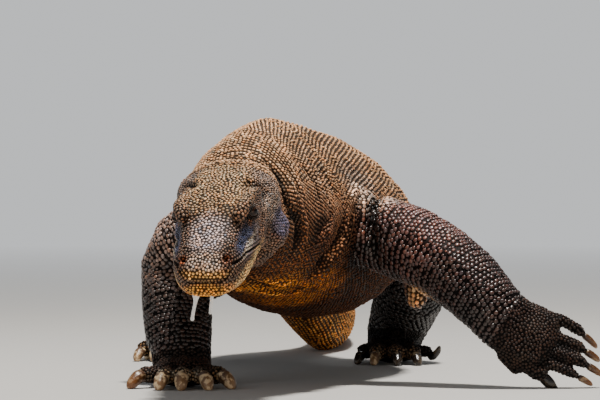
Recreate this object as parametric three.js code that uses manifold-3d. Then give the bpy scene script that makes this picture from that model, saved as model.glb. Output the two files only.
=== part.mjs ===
// A life-size walking Komodo dragon, as a still museum model.
// Millimetres, +Z up. The animal faces -Y, its left side is +X, and it walks on the plane z = 0.
// The flesh is lofted whole, then parted into named pieces with thin cuts. Claws and eyes are their
// own pieces.
import * as THREE from "three";
import { LoftGeometry } from "three/addons/geometries/LoftGeometry.js";
import { mergeVertices } from "three/addons/utils/BufferGeometryUtils.js";
import Module from "manifold-3d";

const wasm = await Module();
wasm.setup();

// ---- Driving dimensions ----
const GAP = 0.4; // width of each parting cut
const HEAD_LENGTH = 205; // front of the lips to the back of the jaw
const HEAD_TIP = new THREE.Vector3(-118, -380, 154); // front of the mouth line
const HEAD_YAW = -10; // degrees, towards the animal's right
const HEAD_PITCH = 27.5; // degrees, snout down
const HEAD_ROLL = -2; // degrees, left eye higher
const EYE_RADIUS = 8.5;
const CLAW_LENGTH = 12; // how far a claw reaches beyond its digit
const CLAW_WIDTH = 0.66; // half a claw's width and its depth, as shares of its digit's radius
const CLAW_DEPTH = 0.7;
const WELD = 1e-3; // vertices closer than this are one
const BLOCK = 6000; // side of a cutting block, more than twice the animal's length
const DISC_RADIUS = 78; // of the disc that parts a limb

const COLOURS = {
  body: 0x6b5a49,
  head: 0x8a7a66,
  claw: 0x4a4038,
  eye: 0x1a1410,
  saliva: 0xe8e2d8,
};

const radians = THREE.MathUtils.degToRad;
const point = (x, y, z) => new THREE.Vector3(x, y, z);

// ---- Shapes ----

// A superellipse round a centre, counterclockwise as seen from the end of the loft.
function ring(centre, across, up, { half, rise, fall, above, below }, sides) {
  return Array.from({ length: sides }, (_, k) => {
    const angle = Math.PI / 2 - (2 * Math.PI * k) / sides;
    const high = Math.sin(angle) > 0;
    const bend = (value) => Math.sign(value) * Math.abs(value) ** (2 / (high ? above : below));
    return centre
      .clone()
      .addScaledVector(across, half * bend(Math.cos(angle)))
      .addScaledVector(up, (high ? rise : fall) * bend(Math.sin(angle)));
  });
}

// Eases a size to nearly nothing over a share of the loft at each end, so that the end is round.
function roundEnd(t, startShare, endShare) {
  const dome = (d) => Math.sqrt(Math.max(0.03, 1 - (1 - d) ** 2));
  const start = t < startShare ? dome(t / startShare) : 1;
  const end = 1 - t < endShare ? dome((1 - t) / endShare) : 1;
  return start * end;
}

// A closed body along a row of stations { at, wide, rise, fall, above, below }: half the width, the
// height over and the depth under the centre, and how square the section is above and below (2 is
// round). The sections face along the row, or stand upright where upright is set. hint is the
// direction that wide is measured along. The ends are rounded over the shares start and end.
function sweep(stations, { hint, upright = false, sides, steps, start = 0, end = 0, grow = 0 }) {
  const path = new THREE.CatmullRomCurve3(stations.map((s) => s.at));
  const sizes = new THREE.CatmullRomCurve3(
    stations.map((s) => point(s.wide, s.rise, s.fall ?? s.rise)),
  );
  const shapes = new THREE.CatmullRomCurve3(
    stations.map((s) => point(s.above ?? 2, s.below ?? 2, 0)),
  );
  const sections = [];
  for (let i = 0; i <= steps; i++) {
    const t = i / steps;
    const centre = path.getPoint(t);
    const tangent = path.getTangent(t);
    if (upright) tangent.setZ(0).normalize();
    const across = hint.clone().addScaledVector(tangent, -hint.dot(tangent)).normalize();
    const up = new THREE.Vector3().crossVectors(across, tangent);
    const size = sizes.getPoint(t).multiplyScalar(roundEnd(t, start, end)).addScalar(grow);
    const { x: above, y: below } = shapes.getPoint(t);
    const section = { half: size.x, rise: size.y, fall: size.z, above, below };
    sections.push(ring(centre, across, up, section, sides));
  }
  return new LoftGeometry(sections, { capStart: true, capEnd: true });
}

function ellipsoid(centre, radii, sides = 12) {
  return new THREE.SphereGeometry(1, sides, Math.round(sides * 0.7))
    .scale(radii.x, radii.y, radii.z)
    .translate(centre.x, centre.y, centre.z);
}

function solid(geometry) {
  const bare = new THREE.BufferGeometry().copy(geometry);
  bare.deleteAttribute("normal");
  bare.deleteAttribute("uv");
  const merged = mergeVertices(bare, WELD);
  const vertProperties = merged.attributes.position.array;
  const triVerts = new Uint32Array(merged.index.array);
  return new wasm.Manifold(new wasm.Mesh({ numProp: 3, vertProperties, triVerts }));
}

const joined = (pieces) => pieces.reduce((sum, piece) => sum.add(piece));
const without = (body, cutters) => cutters.reduce((rest, cutter) => rest.subtract(cutter), body);

// Turns a shape that stands along +Y so that it stands along a direction, at a place.
function aligned(geometry, place, direction) {
  const turn = new THREE.Quaternion();
  turn.setFromUnitVectors(point(0, 1, 0), direction.clone().normalize());
  return geometry.applyQuaternion(turn).translate(place.x, place.y, place.z);
}

// What of a body lies beyond a plane, half of the parting gap past it.
function beyond(body, place, normal) {
  const halfSpace = new THREE.BoxGeometry(BLOCK, BLOCK, BLOCK).translate(0, (BLOCK + GAP) / 2, 0);
  const block = aligned(halfSpace, place, normal);
  return body.intersect(solid(block));
}

// The two sides of a plane, with the parting gap between them: [beyond, before].
const parted = (body, place, normal) => [
  beyond(body, place, normal),
  beyond(body, place, normal.clone().negate()),
];

// Parts a bent limb with a thin disc across it and returns [the piece that holds inner, the other].
function partedByDisc(limb, { at: place, normal, inner }) {
  const flat = new THREE.CylinderGeometry(DISC_RADIUS, DISC_RADIUS, GAP, 24);
  const disc = aligned(flat, place, normal);
  const seed = new THREE.BoxGeometry(2, 2, 2).translate(inner.x, inner.y, inner.z);
  const bits = limb.subtract(solid(disc)).decompose();
  const holds = (bit) => bit.intersect(solid(seed)).volume() > 0;
  return [joined(bits.filter(holds)), joined(bits.filter((bit) => !holds(bit)))];
}

const floorBlock = solid(new THREE.BoxGeometry(1400, 3600, 60).translate(0, 800, -30));
const onFloor = (body) => body.subtract(floorBlock);

// ---- Neck, trunk and tail ----

// One station of the spine: how far left and back it is, the heights of its top and underside, half
// its width, and how square its back is.
const spinePoint = (x, y, top, bottom, wide, above = 2) => ({
  at: point(x, y, (top + bottom) / 2),
  wide,
  rise: (top - bottom) / 2,
  above,
  below: 2.1,
});

const SPINE = [
  spinePoint(-86, -215, 285, 182, 58, 2.1),
  spinePoint(-80, -172, 310, 163, 70, 1.9),
  spinePoint(-73, -118, 333, 148, 82, 1.75),
  spinePoint(-60, -50, 346, 130, 94, 1.6),
  spinePoint(-46, 30, 353, 115, 106, 1.55),
  spinePoint(-38, 115, 353, 102, 118, 1.6),
  spinePoint(-22, 200, 347, 92, 127, 1.68),
  spinePoint(0, 310, 337, 81, 141, 1.66),
  spinePoint(12, 430, 329, 75, 149, 1.65),
  spinePoint(8, 560, 317, 80, 140, 1.66),
  spinePoint(-10, 690, 298, 98, 114, 1.7),
  spinePoint(-20, 800, 262, 100, 86, 1.8),
  spinePoint(-12, 890, 220, 68, 62, 1.8),
  spinePoint(14, 975, 174, 24, 49, 1.8),
  spinePoint(34, 1055, 136, -1, 41, 1.8),
  spinePoint(48, 1190, 102, -1, 34, 1.8),
  spinePoint(52, 1380, 76, -1, 27, 1.8),
  spinePoint(42, 1580, 58, -1, 20.5, 1.8),
  spinePoint(32, 1780, 42, -1, 15, 1.8),
  spinePoint(36, 1980, 29, -1, 10.5, 1.8),
  spinePoint(52, 2150, 18, -1, 7, 1.9),
  spinePoint(72, 2290, 9, -1, 3.6),
];

const SPINE_SHAPE = {
  hint: point(1, 0, 0),
  upright: true,
  sides: 16,
  steps: 30,
  start: 0.01,
  end: 0.01,
};
const spineBody = (grow = 0) => solid(sweep(SPINE, { ...SPINE_SHAPE, grow }));

// The pieces of the spine and how far back each one ends. The tail's tip is what is left.
const SPINE_PIECES = { neck: 35, trunk: 870, tail_base: 1200, tail_middle: 1550, tail_rear: 1900 };

// ---- Head, in its own frame: x left, y back from the lips, z up from the mouth line ----

const headFrame = new THREE.Matrix4()
  .makeRotationFromEuler(
    new THREE.Euler(radians(HEAD_PITCH), radians(HEAD_ROLL), radians(HEAD_YAW), "ZXY"),
  )
  .setPosition(HEAD_TIP);
const inHead = (geometry) => geometry.applyMatrix4(headFrame);

// Half width, height of the crown above the mouth line, and depth of the jaw below it, back from
// the lips.
const HEAD_SECTIONS = [
  { back: 0, wide: 21, rise: 15, fall: 17 },
  { back: 6, wide: 31, rise: 23, fall: 24 },
  { back: 20, wide: 41, rise: 32, fall: 29 },
  { back: 42, wide: 47, rise: 39, fall: 33 },
  { back: 68, wide: 50, rise: 47, fall: 35 },
  { back: 95, wide: 51, rise: 57, fall: 36 },
  { back: 120, wide: 54, rise: 61, fall: 38 },
  { back: 150, wide: 59, rise: 61, fall: 42 },
  { back: 180, wide: 63, rise: 58, fall: 49 },
  { back: 210, wide: 64, rise: 54, fall: 55 },
  { back: 235, wide: 58, rise: 48, fall: 52 },
];
const EYE = point(46, 107, 39); // centre of the left eyeball
const BROW = { at: point(38, 101, 50), size: point(11, 29, 10) };
const CHEEK = { at: point(50, 187, -26), size: point(24, 38, 32) };
const NOSTRIL = { at: point(31, 20, 20), size: point(7, 6, 4) };
const LIP_RISE = 15; // the mouth line steps up behind the front of the upper lip
const MOUTH_CORNER = { back: 118, drop: 9 };

const mirrored = (v, side) => point(v.x * side, v.y, v.z);

function skull(grow = 0) {
  const stations = HEAD_SECTIONS.map(({ back, ...sizes }) => ({
    at: point(0, back, 0),
    ...sizes,
    above: 2.5,
    below: 2.8,
  }));
  return sweep(stations, { hint: point(1, 0, 0), sides: 16, steps: 12, grow });
}

function headFlesh() {
  const pieces = [skull()];
  for (const side of [1, -1]) {
    pieces.push(ellipsoid(mirrored(BROW.at, side), BROW.size, 5));
    pieces.push(ellipsoid(mirrored(CHEEK.at, side), CHEEK.size, 6));
  }
  const nostril = (side) => ellipsoid(mirrored(NOSTRIL.at, side), NOSTRIL.size, 5);
  const nostrils = [1, -1].map((side) => solid(inHead(nostril(side))));
  return without(joined(pieces.map((piece) => solid(inHead(piece)))), nostrils);
}

const eyeball = (side, grow = 0) => {
  const radius = EYE_RADIUS + grow;
  return solid(inHead(ellipsoid(mirrored(EYE, side), point(radius, radius, radius), 8)));
};

// The side profile of the lower jaw: along the mouth line to its corner, then down behind the
// jaw's angle.
function jawPrism(grow = 0) {
  const profile = new THREE.Shape();
  const { back, drop } = MOUTH_CORNER;
  profile.moveTo(-20, grow);
  profile.lineTo(2, grow);
  profile.bezierCurveTo(7, grow, 7, LIP_RISE + grow, 18, LIP_RISE + grow);
  profile.bezierCurveTo(50, LIP_RISE + grow, back - 40, grow - drop * 0.3, back, grow - drop);
  profile.lineTo(back + 32 + grow, -100);
  profile.lineTo(-20, -100);
  const extrusion = { depth: 240, bevelEnabled: false, curveSegments: 3 };
  const block = new THREE.ExtrudeGeometry(profile, extrusion);
  const upright = new THREE.Matrix4().makeBasis(point(0, 1, 0), point(0, 0, 1), point(1, 0, 0));
  return solid(inHead(block.applyMatrix4(upright).translate(-120, 0, 0)));
}

// ---- Limbs ----

const limbPoint = (x, y, z, wide, rise) => ({ at: point(x, y, z), wide, rise });

// A digit: where it leaves its foot (across towards the outer side, and forward), its splay in
// degrees, its length, its radius, how far its claw curls down, and how far its tip hangs.
const digit = (across, fore, splay, length, radius, curl = 1, hang = 0) => ({
  across,
  fore,
  splay,
  length,
  radius,
  curl,
  hang,
});

const HAND_DIGITS = [
  digit(-30, 22, -38, 43, 12),
  digit(-17, 34, -16, 48, 11.5),
  digit(1, 38, 0, 48, 12),
  digit(16, 36, 13, 48, 11.5),
  digit(30, 18, 44, 42, 11.5),
];
// The reaching hand hangs in line with its arm, measured from the wrist.
const REACHING_DIGITS = [
  digit(-37, 44, 5, 38, 12, 0.6, 15),
  digit(-24, 62, 13, 62, 6.8, 0.3, 3),
  digit(-5, 64, 15, 63, 8, 0.3, 7),
  digit(14, 54, 12, 60, 8, 0.3, 6),
  digit(39.5, 46, 5, 54, 7.6, 0.3, 8),
];
const FOOT_DIGITS = [
  digit(-27, 16, -26, 42, 11.5),
  digit(-14, 28, -12, 52, 12),
  digit(4, 33, 2, 58, 12),
  digit(20, 31, 13, 60, 11.5),
  digit(30, 24, 46, 38, 8.5, -0.9),
];
// The foot that pushes off keeps its digits closer together.
const PUSHING_DIGITS = [
  digit(-24, 22, -20, 44, 11.5),
  digit(-13, 30, -10, 52, 12),
  digit(2, 33, 0, 58, 12),
  digit(16, 31, 10, 56, 11.5),
  digit(20, -12, 6, 40, 10.5),
];

// A foot's frame: its middle, forward and outward directions.
function footFrame(origin, forward, outward, droop = 0) {
  const fore = forward.clone().normalize();
  const out = outward.clone().addScaledVector(fore, -outward.dot(fore)).normalize();
  const up = new THREE.Vector3().crossVectors(out, fore);
  if (up.z < 0) up.negate();
  return { origin, fore, out, up, droop };
}

const inFoot = (frame, across, fore, up) =>
  frame.origin
    .clone()
    .addScaledVector(frame.out, across)
    .addScaledVector(frame.fore, fore)
    .addScaledVector(frame.up, up);

// The row of points that a digit follows, then the row that its claw follows.
function digitPath(frame, { across, fore, splay, length, curl, hang }) {
  const turn = radians(splay);
  const whole = length + CLAW_LENGTH;
  const reach = (distance, up) => {
    const place = inFoot(
      frame,
      across + Math.sin(turn) * distance,
      fore + Math.cos(turn) * distance,
      up - (frame.droop * distance) / length,
    );
    return place.setZ(place.z - hang * Math.max(0, distance / whole) ** 4);
  };
  const flesh = (share, up) => reach(length * share, up);
  const horn = (share, up) => reach(length + CLAW_LENGTH * share, up * curl - 2);
  return {
    flesh: [flesh(-0.4, 1), flesh(0.1, 3), flesh(0.5, 5), flesh(0.8, 2), flesh(1, -3)],
    claw: [horn(-0.5, 1), horn(0, 0), horn(0.45, -3), horn(0.8, -9), horn(1, -15)],
    out: frame.out
      .clone()
      .multiplyScalar(Math.cos(turn))
      .addScaledVector(frame.fore, -Math.sin(turn)),
  };
}

function digitFlesh(frame, toe) {
  const { flesh, out } = digitPath(frame, toe);
  const girth = [1.1, 1.06, 1.06, 1.02, 0.9];
  const stations = flesh.map((at, i) => ({
    at,
    wide: toe.radius * girth[i],
    rise: toe.radius * girth[i],
  }));
  return solid(sweep(stations, { hint: out, sides: 6, steps: 3, start: 0.1, end: 0.2 }));
}

function claw(frame, toe, grow = 0) {
  const { claw: path, out } = digitPath(frame, toe);
  const girth = [1, 1, 0.94, 0.78, 0.44];
  const stations = path.map((at, i) => ({
    at,
    wide: CLAW_WIDTH * toe.radius * girth[i],
    rise: CLAW_DEPTH * toe.radius * girth[i],
  }));
  return onFloor(solid(sweep(stations, { hint: out, sides: 5, steps: 3, grow })));
}

// The parting at a joint of a limb: its place, the direction down the limb, and a place inside the
// piece above it.
const parting = (at, normal, inner) => ({
  at: point(...at),
  normal: point(...normal),
  inner: point(...inner),
});

// The four limbs. Each has an upper length, a lower length and a foot.
const LIMBS = {
  front_right: {
    names: ["right_upper_arm", "right_forearm", "right_hand"],
    hint: point(1, 0, 0),
    bones: [
      limbPoint(-66, 118, 224, 54, 54),
      limbPoint(-112, 136, 206, 56, 56),
      limbPoint(-146, 158, 180, 53, 55),
      limbPoint(-164, 172, 150, 50, 52),
      limbPoint(-163, 150, 112, 49, 47),
      limbPoint(-161, 124, 72, 46, 41),
      limbPoint(-157, 108, 44, 41, 34),
      limbPoint(-155, 100, 24, 40, 24),
    ],
    palm: [
      limbPoint(-154, 124, 22, 27, 18),
      limbPoint(-154, 98, 22, 40, 23),
      limbPoint(-152, 64, 19, 44, 20),
      limbPoint(-152, 36, 14, 34, 14),
    ],
    foot: footFrame(point(-153, 74, 14), point(0, -1, 0), point(-1, 0, 0)),
    digits: HAND_DIGITS,
    upperJoint: parting([-164, 172, 144], [-0.24, 0.1, -0.97], [-148, 158, 186]),
    lowerJoint: parting([-152, 104, 42], [0.05, -0.35, -0.94], [-157, 122, 72]),
  },
  front_left: {
    names: ["left_upper_arm", "left_forearm", "left_hand"],
    hint: point(0.42, 0.35, 0.83),
    bones: [
      limbPoint(66, 142, 212, 50, 54),
      limbPoint(114, 132, 196, 50, 54),
      limbPoint(164, 106, 178, 51, 52),
      limbPoint(209, 74, 147, 48, 49),
      limbPoint(240, 52, 117, 44, 43),
      limbPoint(265, 38, 90, 42, 34),
      limbPoint(282, 35, 78, 41, 25),
    ],
    palm: [
      limbPoint(256, 38, 90, 38, 25),
      limbPoint(286, 34, 74, 46, 25),
      limbPoint(314, 31, 60, 46, 20),
      limbPoint(336, 28, 48, 34, 13),
    ],
    foot: footFrame(point(270, 40, 85), point(0.86, -0.12, -0.49), point(0.42, 0.35, 0.83), 8),
    digits: REACHING_DIGITS,
    upperJoint: parting([200, 80, 154], [0.75, -0.45, -0.5], [165, 106, 179]),
    lowerJoint: parting([270, 38, 88], [0.82, -0.2, -0.53], [236, 56, 122]),
    fold: [
      limbPoint(146, 120, 168, 20, 26),
      limbPoint(150, 146, 140, 17, 26),
      limbPoint(155, 158, 112, 16, 22),
      limbPoint(158, 162, 93, 12, 14),
    ],
    heel: [
      limbPoint(252, 34, 74, 14, 17),
      limbPoint(270, 30, 49, 17, 19),
      limbPoint(286, 30, 32, 17, 18),
      limbPoint(308, 32, 26, 14, 15),
    ],
  },
  hind_left: {
    names: ["left_thigh", "left_shank", "left_foot"],
    hint: point(1, 0, 0),
    bones: [
      limbPoint(24, 712, 205, 64, 66),
      limbPoint(74, 690, 184, 68, 70),
      limbPoint(122, 655, 158, 60, 62),
      limbPoint(157, 640, 130, 51, 52),
      limbPoint(155, 668, 100, 51, 46),
      limbPoint(145, 708, 68, 47, 38),
      limbPoint(136, 738, 42, 42, 31),
      limbPoint(133, 748, 24, 39, 23),
    ],
    palm: [
      limbPoint(132, 772, 20, 26, 17),
      limbPoint(132, 740, 21, 39, 22),
      limbPoint(131, 700, 18, 43, 19),
      limbPoint(131, 668, 13, 33, 13),
    ],
    foot: footFrame(point(130, 705, 14), point(0, -1, 0), point(1, 0, 0)),
    digits: FOOT_DIGITS,
    upperJoint: parting([150, 650, 122], [0.36, 0.2, -0.91], [122, 655, 158]),
    lowerJoint: parting([134, 735, 43], [-0.1, -0.1, -0.99], [142, 708, 68]),
  },
  hind_right: {
    names: ["right_thigh", "right_shank", "right_foot"],
    hint: point(1, 0, 0),
    bones: [
      limbPoint(-44, 708, 205, 64, 66),
      limbPoint(-94, 704, 172, 68, 70),
      limbPoint(-142, 712, 140, 58, 60),
      limbPoint(-166, 738, 120, 47, 52),
      limbPoint(-172, 790, 104, 42, 44),
      limbPoint(-176, 838, 90, 36, 36),
      limbPoint(-177, 868, 78, 32, 30),
      limbPoint(-178, 880, 62, 30, 24),
    ],
    palm: [
      limbPoint(-177, 888, 72, 26, 18),
      limbPoint(-179, 862, 54, 33, 24),
      limbPoint(-182, 828, 30, 38, 22),
      limbPoint(-186, 796, 15, 36, 15),
      limbPoint(-189, 774, 11, 28, 10),
    ],
    foot: footFrame(point(-185, 812, 14), point(-0.2, -0.98, 0), point(-0.98, 0.2, 0)),
    digits: PUSHING_DIGITS,
    upperJoint: parting([-163, 742, 120], [-0.48, 0.73, -0.47], [-142, 712, 140]),
    lowerJoint: parting([-177, 862, 60], [-0.05, 0.15, -0.98], [-176, 838, 90]),
  },
};

// The pieces of one limb, named, with its digits' claws.
function limbPieces(limb, trunk) {
  const palm = { hint: limb.foot.out, sides: 8, steps: 4, start: 0.15, end: 0.15 };
  const pad = { hint: point(1, 0, 0), sides: 6, steps: 3, start: 0.2, end: 0.2 };
  const lofts = [sweep(limb.bones, { hint: limb.hint, sides: 10, steps: 7 }), sweep(limb.palm, palm)];
  lofts.push(...[limb.fold, limb.heel].filter(Boolean).map((row) => sweep(row, pad)));
  const flesh = [...lofts.map(solid), ...limb.digits.map((toe) => digitFlesh(limb.foot, toe))];
  const sockets = limb.digits.map((toe) => claw(limb.foot, toe, GAP));
  const whole = onFloor(without(joined(flesh), [trunk, ...sockets]));
  const [top, rest] = partedByDisc(whole, limb.upperJoint);
  const [middle, end] = partedByDisc(rest, limb.lowerJoint);
  const pieces = [top, middle, end].map((piece, i) => [limb.names[i], piece]);
  limb.digits.forEach((toe, i) => {
    pieces.push([`${limb.names[2]}_claw_${i + 1}`, claw(limb.foot, toe)]);
  });
  return pieces;
}

// ---- Saliva: two strands of clear resin that hang from the lower lip, rooted in the head ----

const SALIVA = [
  { root: point(-15, 11, -22), sway: point(-5, 0, 0), length: 34, wide: 8 },
  { root: point(6, 11, -22), sway: point(-6, 0, 0), length: 26, wide: 3.2 },
];

function salivaStrand({ root, sway, length, wide }) {
  const top = root.clone().applyMatrix4(headFrame);
  const stations = [1, 0.9, 0.5, 0.32, 0.34, 0.26].map((girth, i, all) => {
    const share = i / (all.length - 1);
    const at = top.clone().addScaledVector(sway, share).setZ(top.z - length * share);
    return { at, wide: Math.max(wide * girth, 1.2), rise: Math.max(wide * girth * 0.5, 1.1) };
  });
  const strand = solid(sweep(stations, { hint: point(1, 0, 0), sides: 6, steps: 4, end: 0.1 }));
  return strand.subtract(solid(inHead(skull(GAP))));
}

// ---- Assembly ----

function meshOf(name, body, colour, roughness) {
  const { vertProperties, triVerts } = body.getMesh();
  const geometry = new THREE.BufferGeometry()
    .setAttribute("position", new THREE.BufferAttribute(new Float32Array(vertProperties), 3))
    .setIndex(new THREE.BufferAttribute(new Uint32Array(triVerts), 1));
  geometry.computeVertexNormals();
  const mesh = new THREE.Mesh(geometry, new THREE.MeshStandardMaterial({ color: colour, roughness }));
  mesh.name = name;
  return mesh;
}

function axialPieces() {
  const back = headFrame.clone().setPosition(0, 0, 0);
  const along = point(0, 1, 0).applyMatrix4(back);
  const nape = point(0, HEAD_LENGTH, 0).applyMatrix4(headFrame);
  const eyes = [1, -1].map((side) => eyeball(side, GAP));
  const whole = onFloor(without(joined([spineBody(), headFlesh()]), eyes));
  const [body, head] = parted(whole, nape, along);
  const pieces = [
    ["head", head.subtract(jawPrism(GAP))],
    ["lower_jaw", head.intersect(jawPrism())],
  ];
  let rest = body;
  for (const [name, y] of Object.entries(SPINE_PIECES)) {
    const [after, before] = parted(rest, point(0, y, 0), point(0, 1, 0));
    pieces.push([name, before]);
    rest = after;
  }
  pieces.push(["tail_tip", rest]);
  return pieces;
}

const dragon = new THREE.Group();
const trunkSocket = spineBody(GAP);

for (const [name, body] of axialPieces()) {
  const isHead = name === "head" || name === "lower_jaw";
  dragon.add(meshOf(name, body, isHead ? COLOURS.head : COLOURS.body, 0.75));
}
for (const limb of Object.values(LIMBS)) {
  for (const [name, body] of limbPieces(limb, trunkSocket)) {
    dragon.add(meshOf(name, body, name.includes("claw") ? COLOURS.claw : COLOURS.body, 0.7));
  }
}
dragon.add(meshOf("left_eye", eyeball(1), COLOURS.eye, 0.1));
dragon.add(meshOf("right_eye", eyeball(-1), COLOURS.eye, 0.1));
SALIVA.forEach((strand, i) => {
  dragon.add(meshOf(`saliva_${i + 1}`, salivaStrand(strand), COLOURS.saliva, 0.2));
});

// The frame's origin is under the middle of the model, on the floor.
const bounds = new THREE.Box3().setFromObject(dragon);
const middle = bounds.getCenter(new THREE.Vector3());
dragon.position.set(-middle.x, -middle.y, -bounds.min.z);

export default dragon;
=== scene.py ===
"""A life-size komodo dragon in mid-stride: one skin over the whole body, rows of scales on it,
and the eyes, claws and saliva. Drawing lengths are in millimetres: x to the animal's left, y towards
its tail, z up from the floor."""

import math

import bpy
import numpy as np
from mathutils import Euler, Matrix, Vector, noise
from mathutils.bvhtree import BVHTree
from mathutils.kdtree import KDTree


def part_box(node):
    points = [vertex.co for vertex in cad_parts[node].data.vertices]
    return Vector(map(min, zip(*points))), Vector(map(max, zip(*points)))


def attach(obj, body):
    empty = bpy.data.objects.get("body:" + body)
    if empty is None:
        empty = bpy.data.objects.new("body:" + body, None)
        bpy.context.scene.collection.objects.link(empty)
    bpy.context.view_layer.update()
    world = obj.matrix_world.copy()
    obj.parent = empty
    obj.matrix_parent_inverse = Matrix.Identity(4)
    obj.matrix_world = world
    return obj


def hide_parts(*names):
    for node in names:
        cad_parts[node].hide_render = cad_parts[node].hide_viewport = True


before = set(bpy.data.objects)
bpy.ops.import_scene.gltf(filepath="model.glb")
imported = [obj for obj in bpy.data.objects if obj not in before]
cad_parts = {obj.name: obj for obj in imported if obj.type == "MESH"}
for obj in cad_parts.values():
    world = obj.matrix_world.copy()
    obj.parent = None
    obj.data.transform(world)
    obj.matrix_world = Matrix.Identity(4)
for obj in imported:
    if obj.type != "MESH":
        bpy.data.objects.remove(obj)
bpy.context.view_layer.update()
rng = np.random.default_rng(7)

# ---- The drawing's own axes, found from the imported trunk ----

TRUNK_LEFT, TRUNK_FRONT = -155.123, 35.2  # where the trunk's box starts on the drawing
trunk_low = np.array(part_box("trunk")[0]) * 1000
DATUM = np.array([trunk_low[0] - TRUNK_LEFT, trunk_low[1] - TRUNK_FRONT, 0.0])

SPINE_NODES = ["neck", "trunk", "tail_base", "tail_middle", "tail_rear", "tail_tip"]
HEAD_NODES = ["head", "lower_jaw"]
LIMB_NODES = [
    "right_upper_arm", "right_forearm", "left_upper_arm", "left_forearm",
    "left_thigh", "left_shank", "right_thigh", "right_shank",
]
FOOT_NODES = ["right_hand", "left_hand", "left_foot", "right_foot"]
FLESH = HEAD_NODES + SPINE_NODES + LIMB_NODES + FOOT_NODES
EYE_NODES = ["left_eye", "right_eye"]
TAIL_START = 870  # how far back the tail leaves the trunk
FULL_TURN = 6.2832


def to_row(points):
    """Drawing millimetres to the row's metres."""
    return (np.asarray(points, float) + DATUM) / 1000


def to_drawing(points):
    """The row's metres to drawing millimetres."""
    return np.asarray(points, float) * 1000 - DATUM


def vectors(mesh, key):
    """One vector for each point of a mesh."""
    found = np.empty(len(mesh.vertices) * 3, np.float32)
    mesh.vertices.foreach_get(key, found)
    return found.reshape(-1, 3)


def coordinates(mesh):
    return to_drawing(vectors(mesh, "co"))


def set_coordinates(mesh, points):
    mesh.vertices.foreach_set("co", to_row(points).astype(np.float32).ravel())
    mesh.update()


def normals_of(mesh):
    return vectors(mesh, "normal").astype(float)


def triangles_of(mesh):
    """The points of each triangle of a mesh."""
    mesh.calc_loop_triangles()
    corners = np.empty(len(mesh.loop_triangles) * 3, np.int32)
    mesh.loop_triangles.foreach_get("vertices", corners)
    return corners.reshape(-1, 3)


def face_tree(points, faces):
    return BVHTree.FromPolygons([Vector(p) for p in points], faces)


def point_tree(points):
    """A tree that finds the points nearest to a place."""
    tree = KDTree(len(points))
    for i, p in enumerate(points.tolist()):
        tree.insert(p, i)
    tree.balance()
    return tree


def round_off(mesh):
    """Smooth shading all over."""
    mesh.polygons.foreach_set("use_smooth", np.ones(len(mesh.polygons), bool))


def set_values(mesh, name, values):
    """An attribute with one number for each point."""
    made = mesh.attributes.new(name, "FLOAT", "POINT")
    made.data.foreach_set("value", values.astype(np.float32))


def set_markings(mesh, colours):
    """The hide's own colour at each point."""
    made = mesh.attributes.new("hide", "FLOAT_COLOR", "POINT")
    opaque = np.ones((len(colours), 4), np.float32)
    opaque[:, :3] = colours
    made.data.foreach_set("color", opaque.ravel())


def set_bake_map(mesh, corners):
    """The map that the looks are baked on, with one place for each corner of each face."""
    layer = mesh.uv_layers.new(name="OFBake")
    layer.uv.foreach_set("vector", corners.astype(np.float32).ravel())


def unit(v):
    return v / np.maximum(np.linalg.norm(v, axis=-1, keepdims=True), 1e-9)


def smoothstep(low, high, x):
    """From 0 at low to 1 at high, without a kink. Low may be the greater."""
    t = np.clip((np.asarray(x, float) - low) / (high - low), 0, 1)
    return t * t * (3 - 2 * t)


def hump(x, middle, width):
    """A smooth rise to 1 at the middle."""
    return np.exp(-(((x - middle) / width) ** 2))


def select_only(*objects):
    bpy.ops.object.select_all(action="DESELECT")
    for o in objects:
        o.select_set(True)
    bpy.context.view_layer.objects.active = objects[0]


def apply_modifier(obj, kind, **settings):
    select_only(obj)
    modifier = obj.modifiers.new(kind.lower(), kind)
    for key, value in settings.items():
        setattr(modifier, key, value)
    bpy.ops.object.modifier_apply(modifier=modifier.name)


# ---- The head's frame: across to its left, back from the lips, up from the mouth line ----

HEAD_TIP = np.array([-118.0, -380.0, 154.0])
HEAD_TURN = np.array(
    Euler((math.radians(27.5), math.radians(-2), math.radians(-10)), "YXZ").to_matrix()
)


def in_head(points):
    """Drawing places in the head's frame."""
    return (points - HEAD_TIP) @ HEAD_TURN


def from_head(points):
    """Places in the head's frame on the drawing."""
    return HEAD_TIP + np.asarray(points, float) @ HEAD_TURN.T


# ---- Which node each place belongs to ----

cad_places, cad_faces, cad_owner = [], [], []
for number, name in enumerate(FLESH):
    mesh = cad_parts[name].data
    start = sum(len(p) for p in cad_places)
    cad_places.append(coordinates(mesh))
    for face in mesh.polygons:
        cad_faces.append([start + v for v in face.vertices])
        cad_owner.append(number)
cad_owner = np.array(cad_owner)
cad_tree = face_tree(np.concatenate(cad_places), cad_faces)


def owners(points):
    """The number in FLESH of the node nearest to each point."""
    return cad_owner[[cad_tree.find_nearest(Vector(p))[2] for p in points]]


def among(zone, names):
    """Which points belong to the named nodes."""
    return np.isin(zone, [FLESH.index(n) for n in names])


# ---- The skin's base: the flesh nodes fused into one body, their facets smoothed away ----

VOXEL = 2.6
FLESH_SWELL = 0.0007  # in metres, enough to close the cuts between the nodes
SMOOTHING = 22.0  # the reach of the full smoothing


def swollen_copy(node, swell):
    """A closed copy of a CAD node, a little larger all round."""
    piece = bpy.data.objects.new("copy_" + node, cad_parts[node].data.copy())
    bpy.context.scene.collection.objects.link(piece)
    select_only(piece)
    bpy.ops.object.mode_set(mode="EDIT")
    bpy.ops.mesh.select_all(action="SELECT")
    bpy.ops.mesh.remove_doubles(threshold=1e-5)
    bpy.ops.transform.shrink_fatten(value=swell)
    bpy.ops.object.mode_set(mode="OBJECT")
    return piece


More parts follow.
